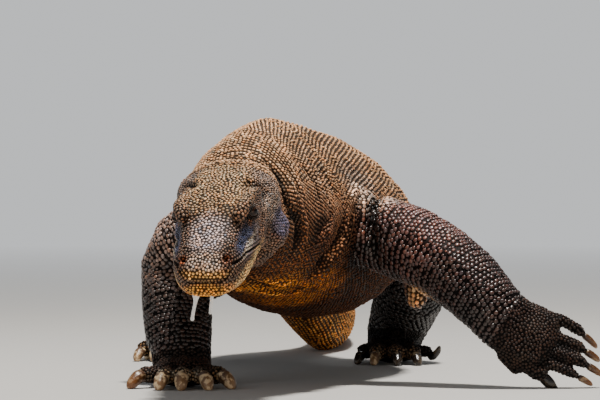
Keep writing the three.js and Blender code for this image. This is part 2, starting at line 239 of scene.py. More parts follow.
def remeshed(piece, name, voxel):
    """The piece under its own name, its mesh made anew in even faces."""
    piece.name = piece.data.name = name
    piece.data.materials.clear()
    apply_modifier(piece, "REMESH", mode="VOXEL", voxel_size=voxel / 1000, adaptivity=0.0)


def fused_flesh():
    """One closed mesh round all the flesh nodes and the eyes."""
    select_only(*[swollen_copy(name, FLESH_SWELL) for name in FLESH + EYE_NODES])
    bpy.ops.object.join()
    skin = bpy.context.view_layer.objects.active
    remeshed(skin, "skin", VOXEL)
    return skin


def smoothing_weight(points, zone):
    """The share of the full smoothing that each place takes: most on the trunk, little on toes."""
    reach = np.full(len(points), SMOOTHING)
    y = points[:, 1]
    tail = 15 - 11 * np.clip((y - 900) / 1250, 0, 1)
    reach = np.where(y > TAIL_START, tail, reach)
    reach[among(zone, LIMB_NODES)] = 11
    reach[among(zone, FOOT_NODES)] = 2.2
    reach[among(zone, HEAD_NODES)] = 6
    return (reach / SMOOTHING) ** 2


def smooth_skin(skin):
    """Evens out the facets. What a second pass takes off is put back, so the body keeps its girth."""
    points = coordinates(skin.data)
    weight = smoothing_weight(points, owners(points))
    group = skin.vertex_groups.new(name="ease")
    for share in np.unique(np.round(weight, 3)):
        members = np.flatnonzero(np.round(weight, 3) == share)
        group.add(members.tolist(), float(share), "REPLACE")
    turns = int(2 * SMOOTHING**2 / (0.5 * VOXEL**2))
    steps = []
    for _ in range(2):
        apply_modifier(skin, "SMOOTH", factor=0.5, iterations=turns, vertex_group="ease")
        steps.append(coordinates(skin.data))
    set_coordinates(skin.data, 2 * steps[0] - steps[1])
    skin.vertex_groups.clear()


# ---- The lie of the coat: towards the tail, and down each limb ----

SPINE_LINE = np.array([
    (-88, -240, 233), (-79, -150, 230), (-69, -70, 230), (-56, 20, 230), (-42, 110, 228),
    (-22, 200, 220), (0, 310, 209), (12, 430, 202), (8, 560, 198), (-10, 690, 198),
    (-20, 800, 181), (-12, 890, 144), (14, 975, 99), (34, 1055, 67), (48, 1190, 50),
    (52, 1380, 37), (42, 1580, 28), (32, 1780, 20), (36, 1980, 14), (52, 2150, 9), (72, 2289, 5),
], float)

LIMB_LINES = {
    "right_arm": [
        (-66, 118, 224), (-112, 136, 206), (-146, 158, 180), (-164, 172, 150),
        (-163, 150, 112), (-161, 124, 72), (-157, 108, 44), (-155, 96, 22),
    ],
    "left_arm": [
        (66, 142, 212), (114, 132, 196), (164, 106, 178), (209, 74, 147),
        (240, 52, 117), (265, 38, 90), (286, 34, 74),
    ],
    "left_leg": [
        (24, 712, 205), (74, 690, 184), (122, 655, 158), (157, 640, 130),
        (155, 668, 100), (145, 708, 68), (136, 738, 42), (133, 750, 20),
    ],
    "right_leg": [
        (-44, 708, 205), (-94, 704, 172), (-142, 712, 140), (-166, 738, 120),
        (-172, 790, 104), (-176, 838, 90), (-177, 868, 70), (-178, 884, 50),
    ],
}
LIMB_HINTS = {
    "right_arm": (1, 0, 0), "left_arm": (0.42, 0.35, 0.83),
    "left_leg": (1, 0, 0), "right_leg": (1, 0, 0),
}
LIMB_OF = {
    "right_upper_arm": "right_arm", "right_forearm": "right_arm",
    "left_upper_arm": "left_arm", "left_forearm": "left_arm",
    "left_thigh": "left_leg", "left_shank": "left_leg",
    "right_thigh": "right_leg", "right_shank": "right_leg",
}
# Each foot: its middle, its forward direction, and the direction of its outer side.
FEET = {
    "right_hand": ((-153, 74, 14), (0, -1, 0), (-1, 0, 0)),
    "left_hand": ((300, 36, 68), (0.86, -0.12, -0.49), (0.42, 0.35, 0.83)),
    "left_foot": ((130, 705, 14), (0, -1, 0), (1, 0, 0)),
    "right_foot": ((-185, 812, 14), (-0.2, -0.98, 0), (-0.98, 0.2, 0)),
}


def run_along(points):
    """How far along a line each of its points is."""
    return np.concatenate([[0], np.cumsum(np.linalg.norm(np.diff(points, axis=0), axis=1))])


def places_at(marks, run, points):
    """The places at given lengths along a line."""
    return np.stack([np.interp(marks, run, points[:, k]) for k in range(3)], 1)


def curve_through(points, pitch=4.0):
    """A smooth line through the points, at even steps: its places, directions and lengths so far."""
    p = np.asarray(points, float)
    p = np.vstack([2 * p[0] - p[1], p, 2 * p[-1] - p[-2]])
    t = np.linspace(0, 1, 24, endpoint=False)[:, None]
    rows = []
    for a, b, c, d in zip(p[:-3], p[1:-2], p[2:-1], p[3:]):
        rows.append(
            0.5 * (2 * b + (c - a) * t + (2 * a - 5 * b + 4 * c - d) * t**2
                   + (3 * b - a - 3 * c + d) * t**3)
        )
    dense = np.vstack([*rows, p[-2:-1]])
    run = run_along(dense)
    at = np.arange(0, run[-1], pitch)
    place = places_at(at, run, dense)
    return place, unit(np.gradient(place, axis=0)), at


LINES = {"spine": curve_through(SPINE_LINE)}
LINES.update({name: curve_through(line, 2.0) for name, line in LIMB_LINES.items()})


def nearest_on(line, points):
    """For each point, the number of the nearest step of a line."""
    place = LINES[line][0]
    found = np.empty(len(points), int)
    for start in range(0, len(points), 4000):
        part = points[start : start + 4000]
        gap = ((part[:, None, :] - place[None, :, :]) ** 2).sum(2)
        found[start : start + 4000] = gap.argmin(1)
    return found


def across_and_up(line, step):
    """Two directions square to a line at its steps, the second one upwards at rest."""
    direction = LINES[line][1][step]
    hint = np.array((1.0, 0, 0) if line == "spine" else LIMB_HINTS[line])
    across = unit(hint - direction * (direction @ hint)[:, None])
    return across, np.cross(across, direction)


def lie_and_unwrap(points, zone):
    """Which way the coat lies at each point, and its place on an unwrap of the body: the turn
    round the part that it is on, and the way along that part, both from 0 to 1."""
    lie = np.tile(HEAD_TURN[:, 1], (len(points), 1))
    local = in_head(points)
    uv = np.stack([np.arctan2(local[:, 0], local[:, 2] - 5) / FULL_TURN + 0.5,
                   (local[:, 1] + 10) / 260], 1)
    groups = {"spine": SPINE_NODES}
    for name in LIMB_LINES:
        groups[name] = [n for n in LIMB_NODES if LIMB_OF[n] == name]
    for line, nodes in groups.items():
        here = np.flatnonzero(among(zone, nodes))
        if not len(here):
            continue
        step = nearest_on(line, points[here])
        place, direction, run = LINES[line]
        across, up = across_and_up(line, step)
        out = points[here] - place[step]
        lie[here] = direction[step]
        turn = np.arctan2((out * across).sum(1), (out * up).sum(1)) / FULL_TURN + 0.5
        uv[here] = np.stack([turn, run[step] / run[-1]], 1)
    for name, (middle, fore, outer) in FEET.items():
        here = np.flatnonzero(among(zone, [name]))
        fore = unit(np.array(fore, float))
        outer = unit(np.array(outer, float) - fore * np.dot(outer, fore))
        up = np.cross(outer, fore)
        out = points[here] - np.array(middle)
        lie[here] = fore
        turn = np.arctan2(out @ outer, out @ up) / FULL_TURN + 0.5
        uv[here] = np.stack([turn, (out @ fore + 90) / 190], 1)
    return lie, np.clip(uv, 0.002, 0.998)


# ---- Sculpting: bulges, folds and creases are pushed out of the skin or into it ----

# A form on the skin: how far it rises (below zero it sinks), how wide it is, and its line.
NECK_FORMS = [
    # behind the jaw
    (-10.5, 6.0, [(-41, -171, 297), (-30, -176, 287), (-23, -185, 269), (-16, -187, 250), (-11, -176, 236),
                 (-6, -160, 228), (-3, -144, 210), (-6, -131, 190), (-13, -127, 178)]),
    (3.0, 6.0, [(-26, -158, 296), (-12, -158, 282), (-4, -160, 262), (4, -146, 240), (8, -130, 222),
                (6, -118, 200), (0, -108, 182)]),
    # the swelling of the neck, and the long fold that frames it
    (8.0, 25.0, [(24, -60, 218), (30, -52, 196)]),
    (-8.5, 6.0, [(48, 10, 212), (44, 4, 196), (33, -14, 180), (18, -26, 160)]),
    (8.5, 5.5, [(60, 33, 226), (58, 30, 210), (54, 27, 196), (42, 7, 178), (25, -7, 157), (8, -7, 142)]),
    (-9.0, 7.0, [(72, 52, 220), (66, 44, 190), (52, 24, 164), (36, 8, 146)]),
    # down the side of the neck
    (2.6, 5.0, [(-10, -129, 288), (-3, -134, 274), (8, -132, 244)]),
    (2.6, 5.0, [(10, -70, 300), (26, -62, 276), (34, -58, 250)]),
    (-2.8, 5.0, [(2, -84, 296), (18, -80, 270), (26, -78, 240)]),
    (2.2, 5.0, [(34, 0, 300), (50, 6, 276), (58, 12, 250)]),
    (-2.6, 5.0, [(26, -16, 300), (42, -12, 276), (50, -6, 250)]),
    # the throat
    (3.4, 6.0, [(-66, -140, 154), (-47, -104, 148), (-27, -68, 141), (-8, -36, 139)]),
    (-4.0, 5.0, [(-70, -120, 150), (-52, -88, 142), (-32, -52, 136)]),
    (3.0, 6.0, [(-60, -60, 134), (-36, -18, 128), (-8, 12, 126), (20, 22, 132)]),
]
SHOULDER_FORMS = [
    (6.5, 8.0, [(64, 51, 242), (68, 92, 256), (78, 128, 260)]),
    (-14.5, 6.5, [(104, 156, 248), (101, 134, 244), (97, 108, 236), (93, 90, 218), (91, 84, 198),
                  (93, 86, 180), (98, 92, 160)]),
    (3.0, 7.0, [(78, 62, 232), (76, 58, 206), (78, 60, 180)]),
    (4.0, 7.0, [(116, 110, 232), (112, 96, 214), (110, 92, 194)]),
    (4.0, 6.0, [(3, -18, 142), (25, 60, 126), (40, 130, 112), (62, 200, 100)]),
    (-4.0, 6.0, [(16, 20, 128), (36, 92, 112), (56, 160, 98)]),
]
FLANK_FORMS = [
    (4.5, 16.0, [(104, 230, 150), (136, 330, 150), (146, 430, 156), (138, 540, 164), (112, 640, 168)]),
    (-3.2, 13.0, [(112, 250, 184), (140, 340, 186), (150, 430, 190), (140, 530, 194), (114, 620, 196)]),
    (-2.6, 10.0, [(88, 250, 118), (116, 340, 110), (126, 430, 112), (118, 540, 122), (92, 640, 136)]),
    (-3.4, 14.0, [(52, 602, 256), (84, 612, 236), (110, 600, 206), (122, 580, 172)]),
]

HEAD_FORMS = [
    # brow, and the hollow behind the eye
    (5.0, 7.5, [(30, 66, 42), (37, 84, 50), (42, 102, 53), (45, 122, 52), (46, 140, 49), (50, 153, 41)]),
    (-8.0, 5.0, [(30, 150, 56), (40, 164, 52), (49, 173, 43), (55, 169, 33), (56, 155, 29), (56, 142, 22)]),
    (-4.0, 5.0, [(56, 142, 22), (56, 134, 12), (54, 122, 5), (52, 108, 4)]),
    # the temple and the jaw muscle
    (4.5, 16.0, [(48, 205, 36), (58, 192, 18), (64, 182, -4)]),
    (3.0, 18.0, [(66, 184, -26), (62, 170, -48)]),
    (-2.5, 8.0, [(60, 150, 4), (58, 140, -14), (56, 132, -30)]),
    # the ridge from nostril to brow, and the hollow beside it
    (1.6, 5.0, [(27, 30, 29), (32, 50, 34), (36, 70, 40)]),
    (-2.4, 7.0, [(40, 44, 22), (44, 62, 24), (48, 80, 24)]),
    # folds of the mouth's side
    (0.9, 1.8, [(41, 40, 23), (45, 58, 19), (49, 78, 12), (52, 100, 2)]),
    (-0.9, 1.8, [(42, 44, 27), (46, 62, 23), (50, 82, 16), (53, 104, 6)]),
    (0.9, 1.8, [(43, 52, 30), (47, 68, 27), (50, 86, 20), (53, 106, 11)]),
    (-0.8, 1.8, [(45, 60, 33), (48, 74, 30), (51, 90, 24)]),
    (-2.5, 3.5, [(54, 112, -10), (57, 124, -20), (58, 132, -34)]),
    # the crown
    (-1.8, 10.0, [(0, 84, 56), (0, 110, 60), (0, 140, 62)]),
    (1.6, 10.0, [(20, 160, 60), (26, 190, 56)]),
    # under the jaw
    (-2.5, 6.0, [(44, 60, -30), (50, 100, -34), (52, 140, -46)]),
]
MOUTH_LINE = [(0, 0), (7, 8), (18, 15), (50, 13), (78, 4), (118, -9)]  # back from the lips, height
MOUTH_END = 118.0
NOSTRIL = (26.5, 18.0, 22.0)
EYE_LINE = unit(np.array([0.84, -0.42, 0.34]))  # where the left eye looks, in the head's frame
EYE_BALL = 8.5
EYE_SOCKET = 6.6  # how far from the ball's centre the skin lies in the opening
LID_DEPTH = 1.7
EYE_HALF_LONG, EYE_HALF_HIGH = 6.8, 4.4  # of the opening between the lids
EYE_RAISED = 0.4  # how far above the ball's centre the opening's middle is


def mouth_height(back):
    """The height of the mouth line at places back from the lips."""
    return np.interp(back, *np.array(MOUTH_LINE, float).T)


def lid_ring(back, up):
    """How many times as far out as the edge of the eye's opening a place is."""
    return np.sqrt((back / EYE_HALF_LONG) ** 2 + ((up - EYE_RAISED) / EYE_HALF_HIGH) ** 2)


def skin_tree(mesh):
    return face_tree(coordinates(mesh), triangles_of(mesh).tolist())


def along_skin(line, tree, pitch=2.0):
    """A line's points, close together and laid on the skin."""
    dense = curve_through(line, pitch)[0]
    return np.array([tree.find_nearest(Vector(p))[0] for p in dense])


def raised(points, line, height, width):
    """How far a form along a line lifts each point. It runs out at the line's ends."""
    near = np.flatnonzero(
        ((points > line.min(0) - 2.6 * width) & (points < line.max(0) + 2.6 * width)).all(1)
    )
    share = np.linspace(0, 1, len(line))
    ends = smoothstep(0, 0.2, share) * smoothstep(1, 0.8, share) * 0.75 + 0.25
    lift = np.zeros(len(points))
    for start in range(0, len(near), 3000):
        some = near[start : start + 3000]
        gap = ((points[some][:, None, :] - line[None, :, :]) ** 2).sum(2)
        step = gap.argmin(1)
        lift[some] = height * ends[step] * np.exp(-gap[np.arange(len(some)), step] / width**2)
    return lift


def mirrored_in_body(line):
    """A line on the animal's right that answers one on its left, across the spine."""
    line = np.asarray(line, float)
    middle = np.interp(line[:, 1], SPINE_LINE[:, 1], SPINE_LINE[:, 0])
    return np.stack([2 * middle - line[:, 0], line[:, 1], line[:, 2]], 1)


def lift_of(points, tree, left, right):
    """How far the body's forms lift each point: its left side's, and their answers on its right."""
    forms = left + [(height, width, mirrored_in_body(line)) for height, width, line in right]
    lift = np.zeros(len(points))
    for height, width, line in forms:
        lift += raised(points, along_skin(line, tree), height, width)
    return lift


def grain(points, size, seed=0.0):
    """Smooth noise from -1 to 1, its lumps about size across."""
    shift = Vector((seed, 2.3 * seed, -1.7 * seed))
    return np.array([noise.noise(Vector(p) / size + shift) for p in points])


def sculpt_body(skin):
    """The neck, the shoulders and the flanks: broad folds, and slight unevenness all over."""
    points, normals = coordinates(skin.data), normals_of(skin.data)
    both_sides = NECK_FORMS + FLANK_FORMS
    left = NECK_FORMS + SHOULDER_FORMS + FLANK_FORMS
    lift = lift_of(points, skin_tree(skin.data), left, both_sides)
    feet = among(owners(points), FOOT_NODES)
    soft = np.where(feet, 0.25, 1.0) * smoothstep(2200, 1200, points[:, 1])
    lift += soft * (1.3 * grain(points, 42.0) + 0.6 * grain(points, 15.0, 4.0))
    set_coordinates(skin.data, points + normals * lift[:, None])


def refine(skin, chosen):
    """Splits each chosen face in four."""
    select_only(skin)
    bpy.ops.object.mode_set(mode="EDIT")
    bpy.ops.mesh.select_mode(type="FACE")
    bpy.ops.mesh.select_all(action="DESELECT")
    bpy.ops.object.mode_set(mode="OBJECT")
    skin.data.polygons.foreach_set("select", chosen)
    bpy.ops.object.mode_set(mode="EDIT")
    bpy.ops.mesh.subdivide(number_cuts=1, smoothness=0.0, quadcorner="INNERVERT")
    bpy.ops.object.mode_set(mode="OBJECT")


def face_centres(mesh):
    found = np.empty(len(mesh.polygons) * 3, np.float32)
    mesh.polygons.foreach_get("center", found)
    return to_drawing(found.reshape(-1, 3))


def ease(skin, chosen, turns):
    """Smooths the chosen points a little."""
    group = skin.vertex_groups.new(name="ease")
    group.add(np.flatnonzero(chosen).tolist(), 1.0, "REPLACE")
    apply_modifier(skin, "SMOOTH", factor=0.5, iterations=turns, vertex_group="ease")
    skin.vertex_groups.clear()


def is_head(points):
    """Which points lie on the head, as far back as the jaw's end."""
    local = in_head(points)
    return (local[:, 1] < 215) & (local[:, 1] > -20) & (points[:, 1] < -150)


def sculpt_head(skin):
    """Brows, temples, cheeks and the folds beside the mouth, alike on both sides."""
    points, normals = coordinates(skin.data), normals_of(skin.data)
    tree = skin_tree(skin.data)
    lift = np.zeros(len(points))
    for height, width, line in HEAD_FORMS:
        for side in (1, -1):
            there = from_head(np.array(line, float) * [side, 1, 1])
            lift += raised(points, along_skin(there, tree, 1.5), height, width)
    here = is_head(points)
    set_coordinates(skin.data, points + normals * (lift * here)[:, None])


EYE_CENTRE = in_head(to_drawing(np.mean(np.array(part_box("left_eye")), axis=0)))
EYE_BACK = unit(np.array([0.0, 1, 0]) - EYE_LINE[1] * EYE_LINE)
EYE_UP = np.cross(EYE_LINE, EYE_BACK)


def eye_frame(local, side):
    """Places about one eye: how far back, how far up and how far out of the ball's centre."""
    about = (local - EYE_CENTRE * [side, 1, 1]) * [side, 1, 1]
    return about @ EYE_BACK, about @ EYE_UP, about @ EYE_LINE


def sculpt_face(skin):
    """Lids round each eye, nostrils and the mouth line."""
    points, normals = coordinates(skin.data), normals_of(skin.data)
    here = np.flatnonzero(is_head(points))
    local, local_normals = in_head(points[here]), normals[here] @ HEAD_TURN
    _, s, h = local.T
    lift = np.zeros(len(here))
    # the mouth line
    gap = h - mouth_height(s)
    fade = smoothstep(MOUTH_END + 4, MOUTH_END - 14, s) * (s < MOUTH_END + 4)
    lift += fade * (-2.2 * hump(gap, 0, 1.2) + 1.3 * hump(gap, 4.0, 2.4) + 0.9 * hump(gap, -4.5, 3.0))
    # the nostrils
    for side in (1, -1):
        about = local - np.array(NOSTRIL) * [side, 1, 1]
        reach = np.sqrt((about[:, 0] / 1.15) ** 2 + (about[:, 1] / 1.25) ** 2 + (about[:, 2] / 0.85) ** 2)
        lift += -6.0 * np.exp(-((reach / 3.6) ** 2.5)) + 1.3 * hump(reach, 6.4, 1.9)
    local = local + local_normals * lift[:, None]
    # the lids
    for side in (1, -1):
        back, up, out = eye_frame(local, side)
        reach = np.sqrt(back**2 + up**2 + out**2)
        ring = lid_ring(back, up)
        close = (out > 0.5) & (reach < 22)
        wanted = EYE_SOCKET + (EYE_BALL + LID_DEPTH - EYE_SOCKET) * smoothstep(0.86, 1.1, ring)
        wanted += 0.7 * hump(ring, 1.22, 0.16)
        wanted += -0.5 * hump(ring, 1.75, 0.12) + 0.35 * hump(ring, 1.98, 0.14)
        hold = smoothstep(2.9, 1.7, ring) * close
        centre = EYE_CENTRE * [side, 1, 1]
        moved = centre + (local - centre) * (wanted / np.maximum(reach, 1))[:, None]
        local += (moved - local) * hold[:, None]
    points[here] = from_head(local)
    set_coordinates(skin.data, points)


def coat_depth(points, zone):
    """How deep the scales are at each point."""
    depth = np.full(len(points), 1.7)
    y = points[:, 1]
    depth = np.where(y > TAIL_START, 1.7 - 1.1 * smoothstep(900, 2200, y), depth)
    depth[among(zone, LIMB_NODES)] = 2.0
    depth[among(zone, FOOT_NODES)] = 1.2
    depth[among(zone, HEAD_NODES)] = 1.4
    return depth


def sink(skin):
    """The skin lies inside the flesh nodes by the depth of its scales."""
    points = coordinates(skin.data)
    points -= normals_of(skin.data) * coat_depth(points, owners(points))[:, None]
    points[:, 2] = np.maximum(points[:, 2], 0.6)
    set_coordinates(skin.data, points)


def thin_out(skin, wanted):
    """Fewer triangles where the scales hide them: everywhere but the head."""
    points = coordinates(skin.data)
    group = skin.vertex_groups.new(name="dense")
    group.add(np.flatnonzero(~is_head(points)).tolist(), 1.0, "REPLACE")
    total = sum(len(face.vertices) - 2 for face in skin.data.polygons)
    apply_modifier(skin, "DECIMATE", ratio=wanted / total, vertex_group="dense")
    skin.vertex_groups.clear()


SKIN_TRIANGLES = 186000


def near_features(points, eye, nostril, mouth):
    """Which points of the head lie near an eye, a nostril or the mouth line."""
    local = in_head(points)
    local[:, 0] = np.abs(local[:, 0])
    gap = np.abs(local[:, 2] - mouth_height(local[:, 1]))
    chosen = np.linalg.norm(local - EYE_CENTRE, axis=1) < eye
    chosen |= np.linalg.norm(local - np.array(NOSTRIL), axis=1) < nostril
    chosen |= (gap < mouth) & (local[:, 1] < MOUTH_END + 6)
    return chosen & is_head(points)


def make_skin():
    """The whole skin, from the flesh nodes to the finished face."""
    skin = fused_flesh()
    smooth_skin(skin)
    sculpt_body(skin)
    sink(skin)
    refine(skin, near_features(face_centres(skin.data), 52, 20, 9))
    ease(skin, is_head(coordinates(skin.data)), 2)
    sculpt_head(skin)
    refine(skin, near_features(face_centres(skin.data), 19, 10, 0))
    ease(skin, near_features(coordinates(skin.data), 24, 14, 6), 2)
    sculpt_face(skin)
    thin_out(skin, SKIN_TRIANGLES)
    round_off(skin.data)
    return skin


skin = make_skin()


# ---- Where the scales stand ----


class Surface:
    """The finished skin as arrays, and a tree that finds its nearest place."""

    def __init__(self, mesh):
        self.points = coordinates(mesh)
        self.normals = normals_of(mesh)
        self.triangles = triangles_of(mesh)
        self.tree = face_tree(self.points, self.triangles.tolist())
        a, b, c = (self.points[self.triangles[:, k]] for k in range(3))
        self.areas = np.linalg.norm(np.cross(b - a, c - a), axis=1) / 2

    def nearest(self, points):
        """The skin's places nearest to points, their smooth normals and distances."""
        place, gap = np.empty((len(points), 3)), np.empty(len(points))
        face = np.empty(len(points), int)
        for i, p in enumerate(points):
            place[i], _, face[i], gap[i] = self.tree.find_nearest(Vector(p))
        return place, unit(self.normals[self.triangles[face]].mean(1)), gap

    def scattered(self, count, weight):
        """Random places on the skin, more of them where the weight is greater, with normals."""
        share = self.areas * weight
        pick = rng.choice(len(share), size=count, p=share / share.sum())
        u, v = rng.random(count), rng.random(count)
        flip = u + v > 1
        u, v = np.where(flip, 1 - u, u), np.where(flip, 1 - v, v)
        share = np.stack([1 - u - v, u, v], 1)[:, :, None]
        corners = self.triangles[pick]
        return (self.points[corners] * share).sum(1), unit((self.normals[corners] * share).sum(1))


surface = Surface(skin.data)

# How far apart the scales stand, at places tailwards: from file to file, and from row to row.
PITCH_PLACES = [-260, -60, 60, TAIL_START, 1400, 2290]
FILE_PITCH = (PITCH_PLACES, [4.9, 5.4, 6.2, 6.2, 4.6, 1.9])
ROW_PITCH = (PITCH_PLACES, [7.2, 8.4, 8.2, 8.0, 6.4, 3.0])
CHEVRON = ([-80, 340], [0.0, 92.0])  # how far the files have closed in on the crest, tailwards
LIMB_FILE, LIMB_ROW = 7.2, 5.1
FIRST_RING, FIRST_BETWEEN = 2.0, 6.2  # how far along the spine the two sets of rings start
FARTHEST = 12.0  # how far off the skin a row may be before it is laid on it


def head_scale(local):
    """Half the width and the height of a head scale at a place in the head's frame."""
    w, s, h = np.abs(local[:, 0]), local[:, 1], local[:, 2]
    half = np.full(len(local), 2.1)
    high = np.full(len(local), 1.15)
    top = smoothstep(28, 42, h - 0.06 * s)
    half += 0.35 * top
    high += 0.15 * top
    snout = smoothstep(70, 30, s) * smoothstep(14, 26, h)
    half -= 0.15 * snout
    cheek = smoothstep(34, 42, w) * smoothstep(-6, 6, h) * smoothstep(46, 34, h - 0.05 * s)
    half -= 0.55 * cheek
    high -= 0.35 * cheek
    patch = smoothstep(20, 34, s) * smoothstep(92, 74, s) * cheek
    half -= 0.12 * patch
    high -= 0.25 * patch
    jaw = smoothstep(0, -12, h)
    half += 0.05 * jaw
    ring = np.full(len(local), 9.0)
    for side in (1, -1):
        back, up, out = eye_frame(local, side)
        here = (out > 0) & (np.abs(back) < 24)
        ring = np.minimum(ring, np.where(here, lid_ring(back, up), 9.0))
    near_eye = smoothstep(4.2, 2.2, ring)
    half = half * (1 - near_eye) + (0.75 + 0.28 * ring.clip(1, 4)) * near_eye
    high = high * (1 - 0.35 * near_eye)
    return half, high


def scale_size(points, zone, normals):
    """Half the width, half the length and the height of a scale at each place."""
    y, up = points[:, 1], normals[:, 2]
    belly = smoothstep(-0.35, -0.8, up)
    file, row = np.interp(y, *FILE_PITCH), np.interp(y, *ROW_PITCH)
    over = points[:, 0] - np.interp(y, SPINE_LINE[:, 1], SPINE_LINE[:, 0])
    # rings behind the head and over the right shoulder, beads on the sides of the neck and chest
    nape = np.maximum(smoothstep(-50, -110, y), smoothstep(12, -18, over) * smoothstep(240, 120, y))
    nape = nape * smoothstep(0.2, 0.5, up)
    beaded = smoothstep(0.45, 0.2, up) * smoothstep(500, 400, y)
    wide = file * (0.28 + 0.23 * nape + 0.06 * beaded + 0.1 * belly)
    long = row * (0.57 - 0.26 * nape - 0.3 * beaded)
    high = (1.1 + 0.2 * file) * (1 - 0.35 * belly)
    limb = among(zone, LIMB_NODES)
    wide = np.where(limb, LIMB_FILE * 0.52, wide)
    long = np.where(limb, LIMB_ROW * 0.58, long)
    high = np.where(limb, 1.9, high)
    foot = among(zone, FOOT_NODES)
    wide = np.where(foot, 2.3, wide)
    long = np.where(foot, 2.3, long)
    high = np.where(foot, 1.15, high)
    head = among(zone, HEAD_NODES)
    half, rise = head_scale(in_head(points))
    return np.where(head, half, wide), np.where(head, half, long), np.where(head, rise, high)


def outline_at(line, step, rays=120):
    """The outline of the body round one step of a line, from its top round to its top again."""
    place = LINES[line][0][step]
    across, up = (v[0] for v in across_and_up(line, np.array([step])))
    hits = []
    for a in np.linspace(0, 2 * np.pi, rays + 1)[:-1]:
        ray = math.sin(a) * across + math.cos(a) * up
        hit = cad_tree.ray_cast(Vector(place), Vector(ray), 260)[0]
        hits.append(hit if hit is not None else Vector(place))
    return np.array([*hits, hits[0]])


def spine_places(between):
    """Rings round the spine, with their scales in files that run from the nape to the tail's tip.

    The rings between are set half a step on and half a file over.
    """
    _, _, run = LINES["spine"]
    found = []
    at = FIRST_BETWEEN if between else FIRST_RING
    while at < run[-1] - 1:
        step = int(np.searchsorted(run, at).clip(0, len(run) - 1))
        y = LINES["spine"][0][step, 1]
        outline = outline_at("spine", step)
        arc = run_along(outline)
        pitch = np.interp(y, *FILE_PITCH)
        start = pitch - np.interp(y, *CHEVRON) % pitch + (pitch / 2 if between else 0)
        side = np.arange(start, arc[-1] / 2, pitch)
        marks = np.concatenate([side, arc[-1] - side])
        found.append(places_at(marks, arc, outline))
        at += np.interp(y, *ROW_PITCH)
    return np.vstack(found)


def limb_places(line):
    """Rings round a limb, each one staggered against the last."""
    _, _, run = LINES[line]
    found = []
    for row, at in enumerate(np.arange(FIRST_RING, run[-1] - 1, LIMB_ROW)):
        outline = outline_at(line, int(np.searchsorted(run, at).clip(0, len(run) - 1)))
        arc = run_along(outline)
        half = int(arc[-1] / 2 / LIMB_FILE)
        marks = ((np.arange(-half, half + 1) + 0.5 * (row % 2)) * LIMB_FILE) % arc[-1]
        found.append(places_at(marks, arc, outline))
    return np.vstack(found)


def laid(raw, line, nodes, wander, stray):
    """Rows laid on the skin, a little uneven: they wander along the part, and each scale strays."""
    drift = np.array([noise.noise(Vector(p) * 0.011) for p in raw]) * wander
    raw = raw + LINES[line][1][nearest_on(line, raw)] * drift[:, None]
    raw += rng.normal(0, stray, raw.shape)
    place, normal, gap = surface.nearest(raw)
    zone = owners(place)
    keep = (gap < FARTHEST) & among(zone, nodes)
    return place[keep], normal[keep], zone[keep]


def apart(points, reach, taken_points, taken_reach):
    """Which points stand clear of those taken, and of each other, by the sum of their reaches."""
    cell = 9.0
    shelf = {}
    for p, r in zip(taken_points, taken_reach):
        shelf.setdefault(tuple((p // cell).astype(int)), []).append((p[0], p[1], p[2], r))
    keep = np.zeros(len(points), bool)
    around = [(i, j, k) for i in (-1, 0, 1) for j in (-1, 0, 1) for k in (-1, 0, 1)]
    around.sort(key=lambda c: abs(c[0]) + abs(c[1]) + abs(c[2]))
    for i, (p, r) in enumerate(zip(points.tolist(), reach.tolist())):
        x, y, z = p
        cx, cy, cz = int(x // cell), int(y // cell), int(z // cell)
        keep[i] = not any(
            (x - qx) ** 2 + (y - qy) ** 2 + (z - qz) ** 2 < (r + qr) ** 2
            for dx, dy, dz in around
            for qx, qy, qz, qr in shelf.get((cx + dx, cy + dy, cz + dz), ())
        )
        if keep[i]:
            shelf.setdefault((cx, cy, cz), []).append((x, y, z, r))
    return keep


def reach_of(points, zone, normals):
    """The radius of a round scale with the area of the one at each point."""
    wide, long, _ = scale_size(points, zone, normals)
    return np.sqrt(wide * long)


def open_parts(points):
    """Where no scale stands on the head: between the lids, in the nostrils, between the lips."""
    local = in_head(points)
    bare = np.zeros(len(points), bool)
    for side in (1, -1):
        back, up, out = eye_frame(local, side)
        ring = lid_ring(back, up)
        bare |= (ring < 1.2) & (out > 0) & (out < 14)
        bare |= np.linalg.norm(local - np.array(NOSTRIL) * [side, 1, 1], axis=1) < 4.2
    _, s, h = local.T
    gap = np.abs(h - mouth_height(s))
    return bare | ((gap < 1.6) & (s < MOUTH_END) & (s > -20))


def eased(points, zone, turns=6):
    """Random places pushed apart until they lie evenly."""
    half = reach_of(points, zone, np.zeros_like(points))
    for _ in range(turns):
        tree = point_tree(points)
        push = np.zeros_like(points)
        for i, p in enumerate(points.tolist()):
            for _, j, gap in tree.find_n(p, 7):
                want = 0.96 * (half[i] + half[j])
                if 0 < gap < want:
                    push[i] += (points[i] - points[j]) * (0.28 * (want - gap) / gap)
        points = surface.nearest(points + push)[0]
    return points


def lip_places(rise, pitch):
    """A row of places along the lips, a set rise above the mouth line."""
    traced = []
    for turn in np.radians(np.arange(-146, 146.1, 1.0)):
        ray = HEAD_TURN @ np.array([math.sin(turn), -math.cos(turn), 0])
        height = 6.0
        for _ in range(3):
            start = from_head(np.array([0, 45, height + rise]))
            hit = surface.tree.ray_cast(Vector(start), Vector(ray), 90)[0]
            if hit is None:
                break
            height = mouth_height(in_head(np.array(hit)[None])[0, 1])
        if hit is not None:
            traced.append(np.array(hit))
    return curve_through(traced, pitch)[0]


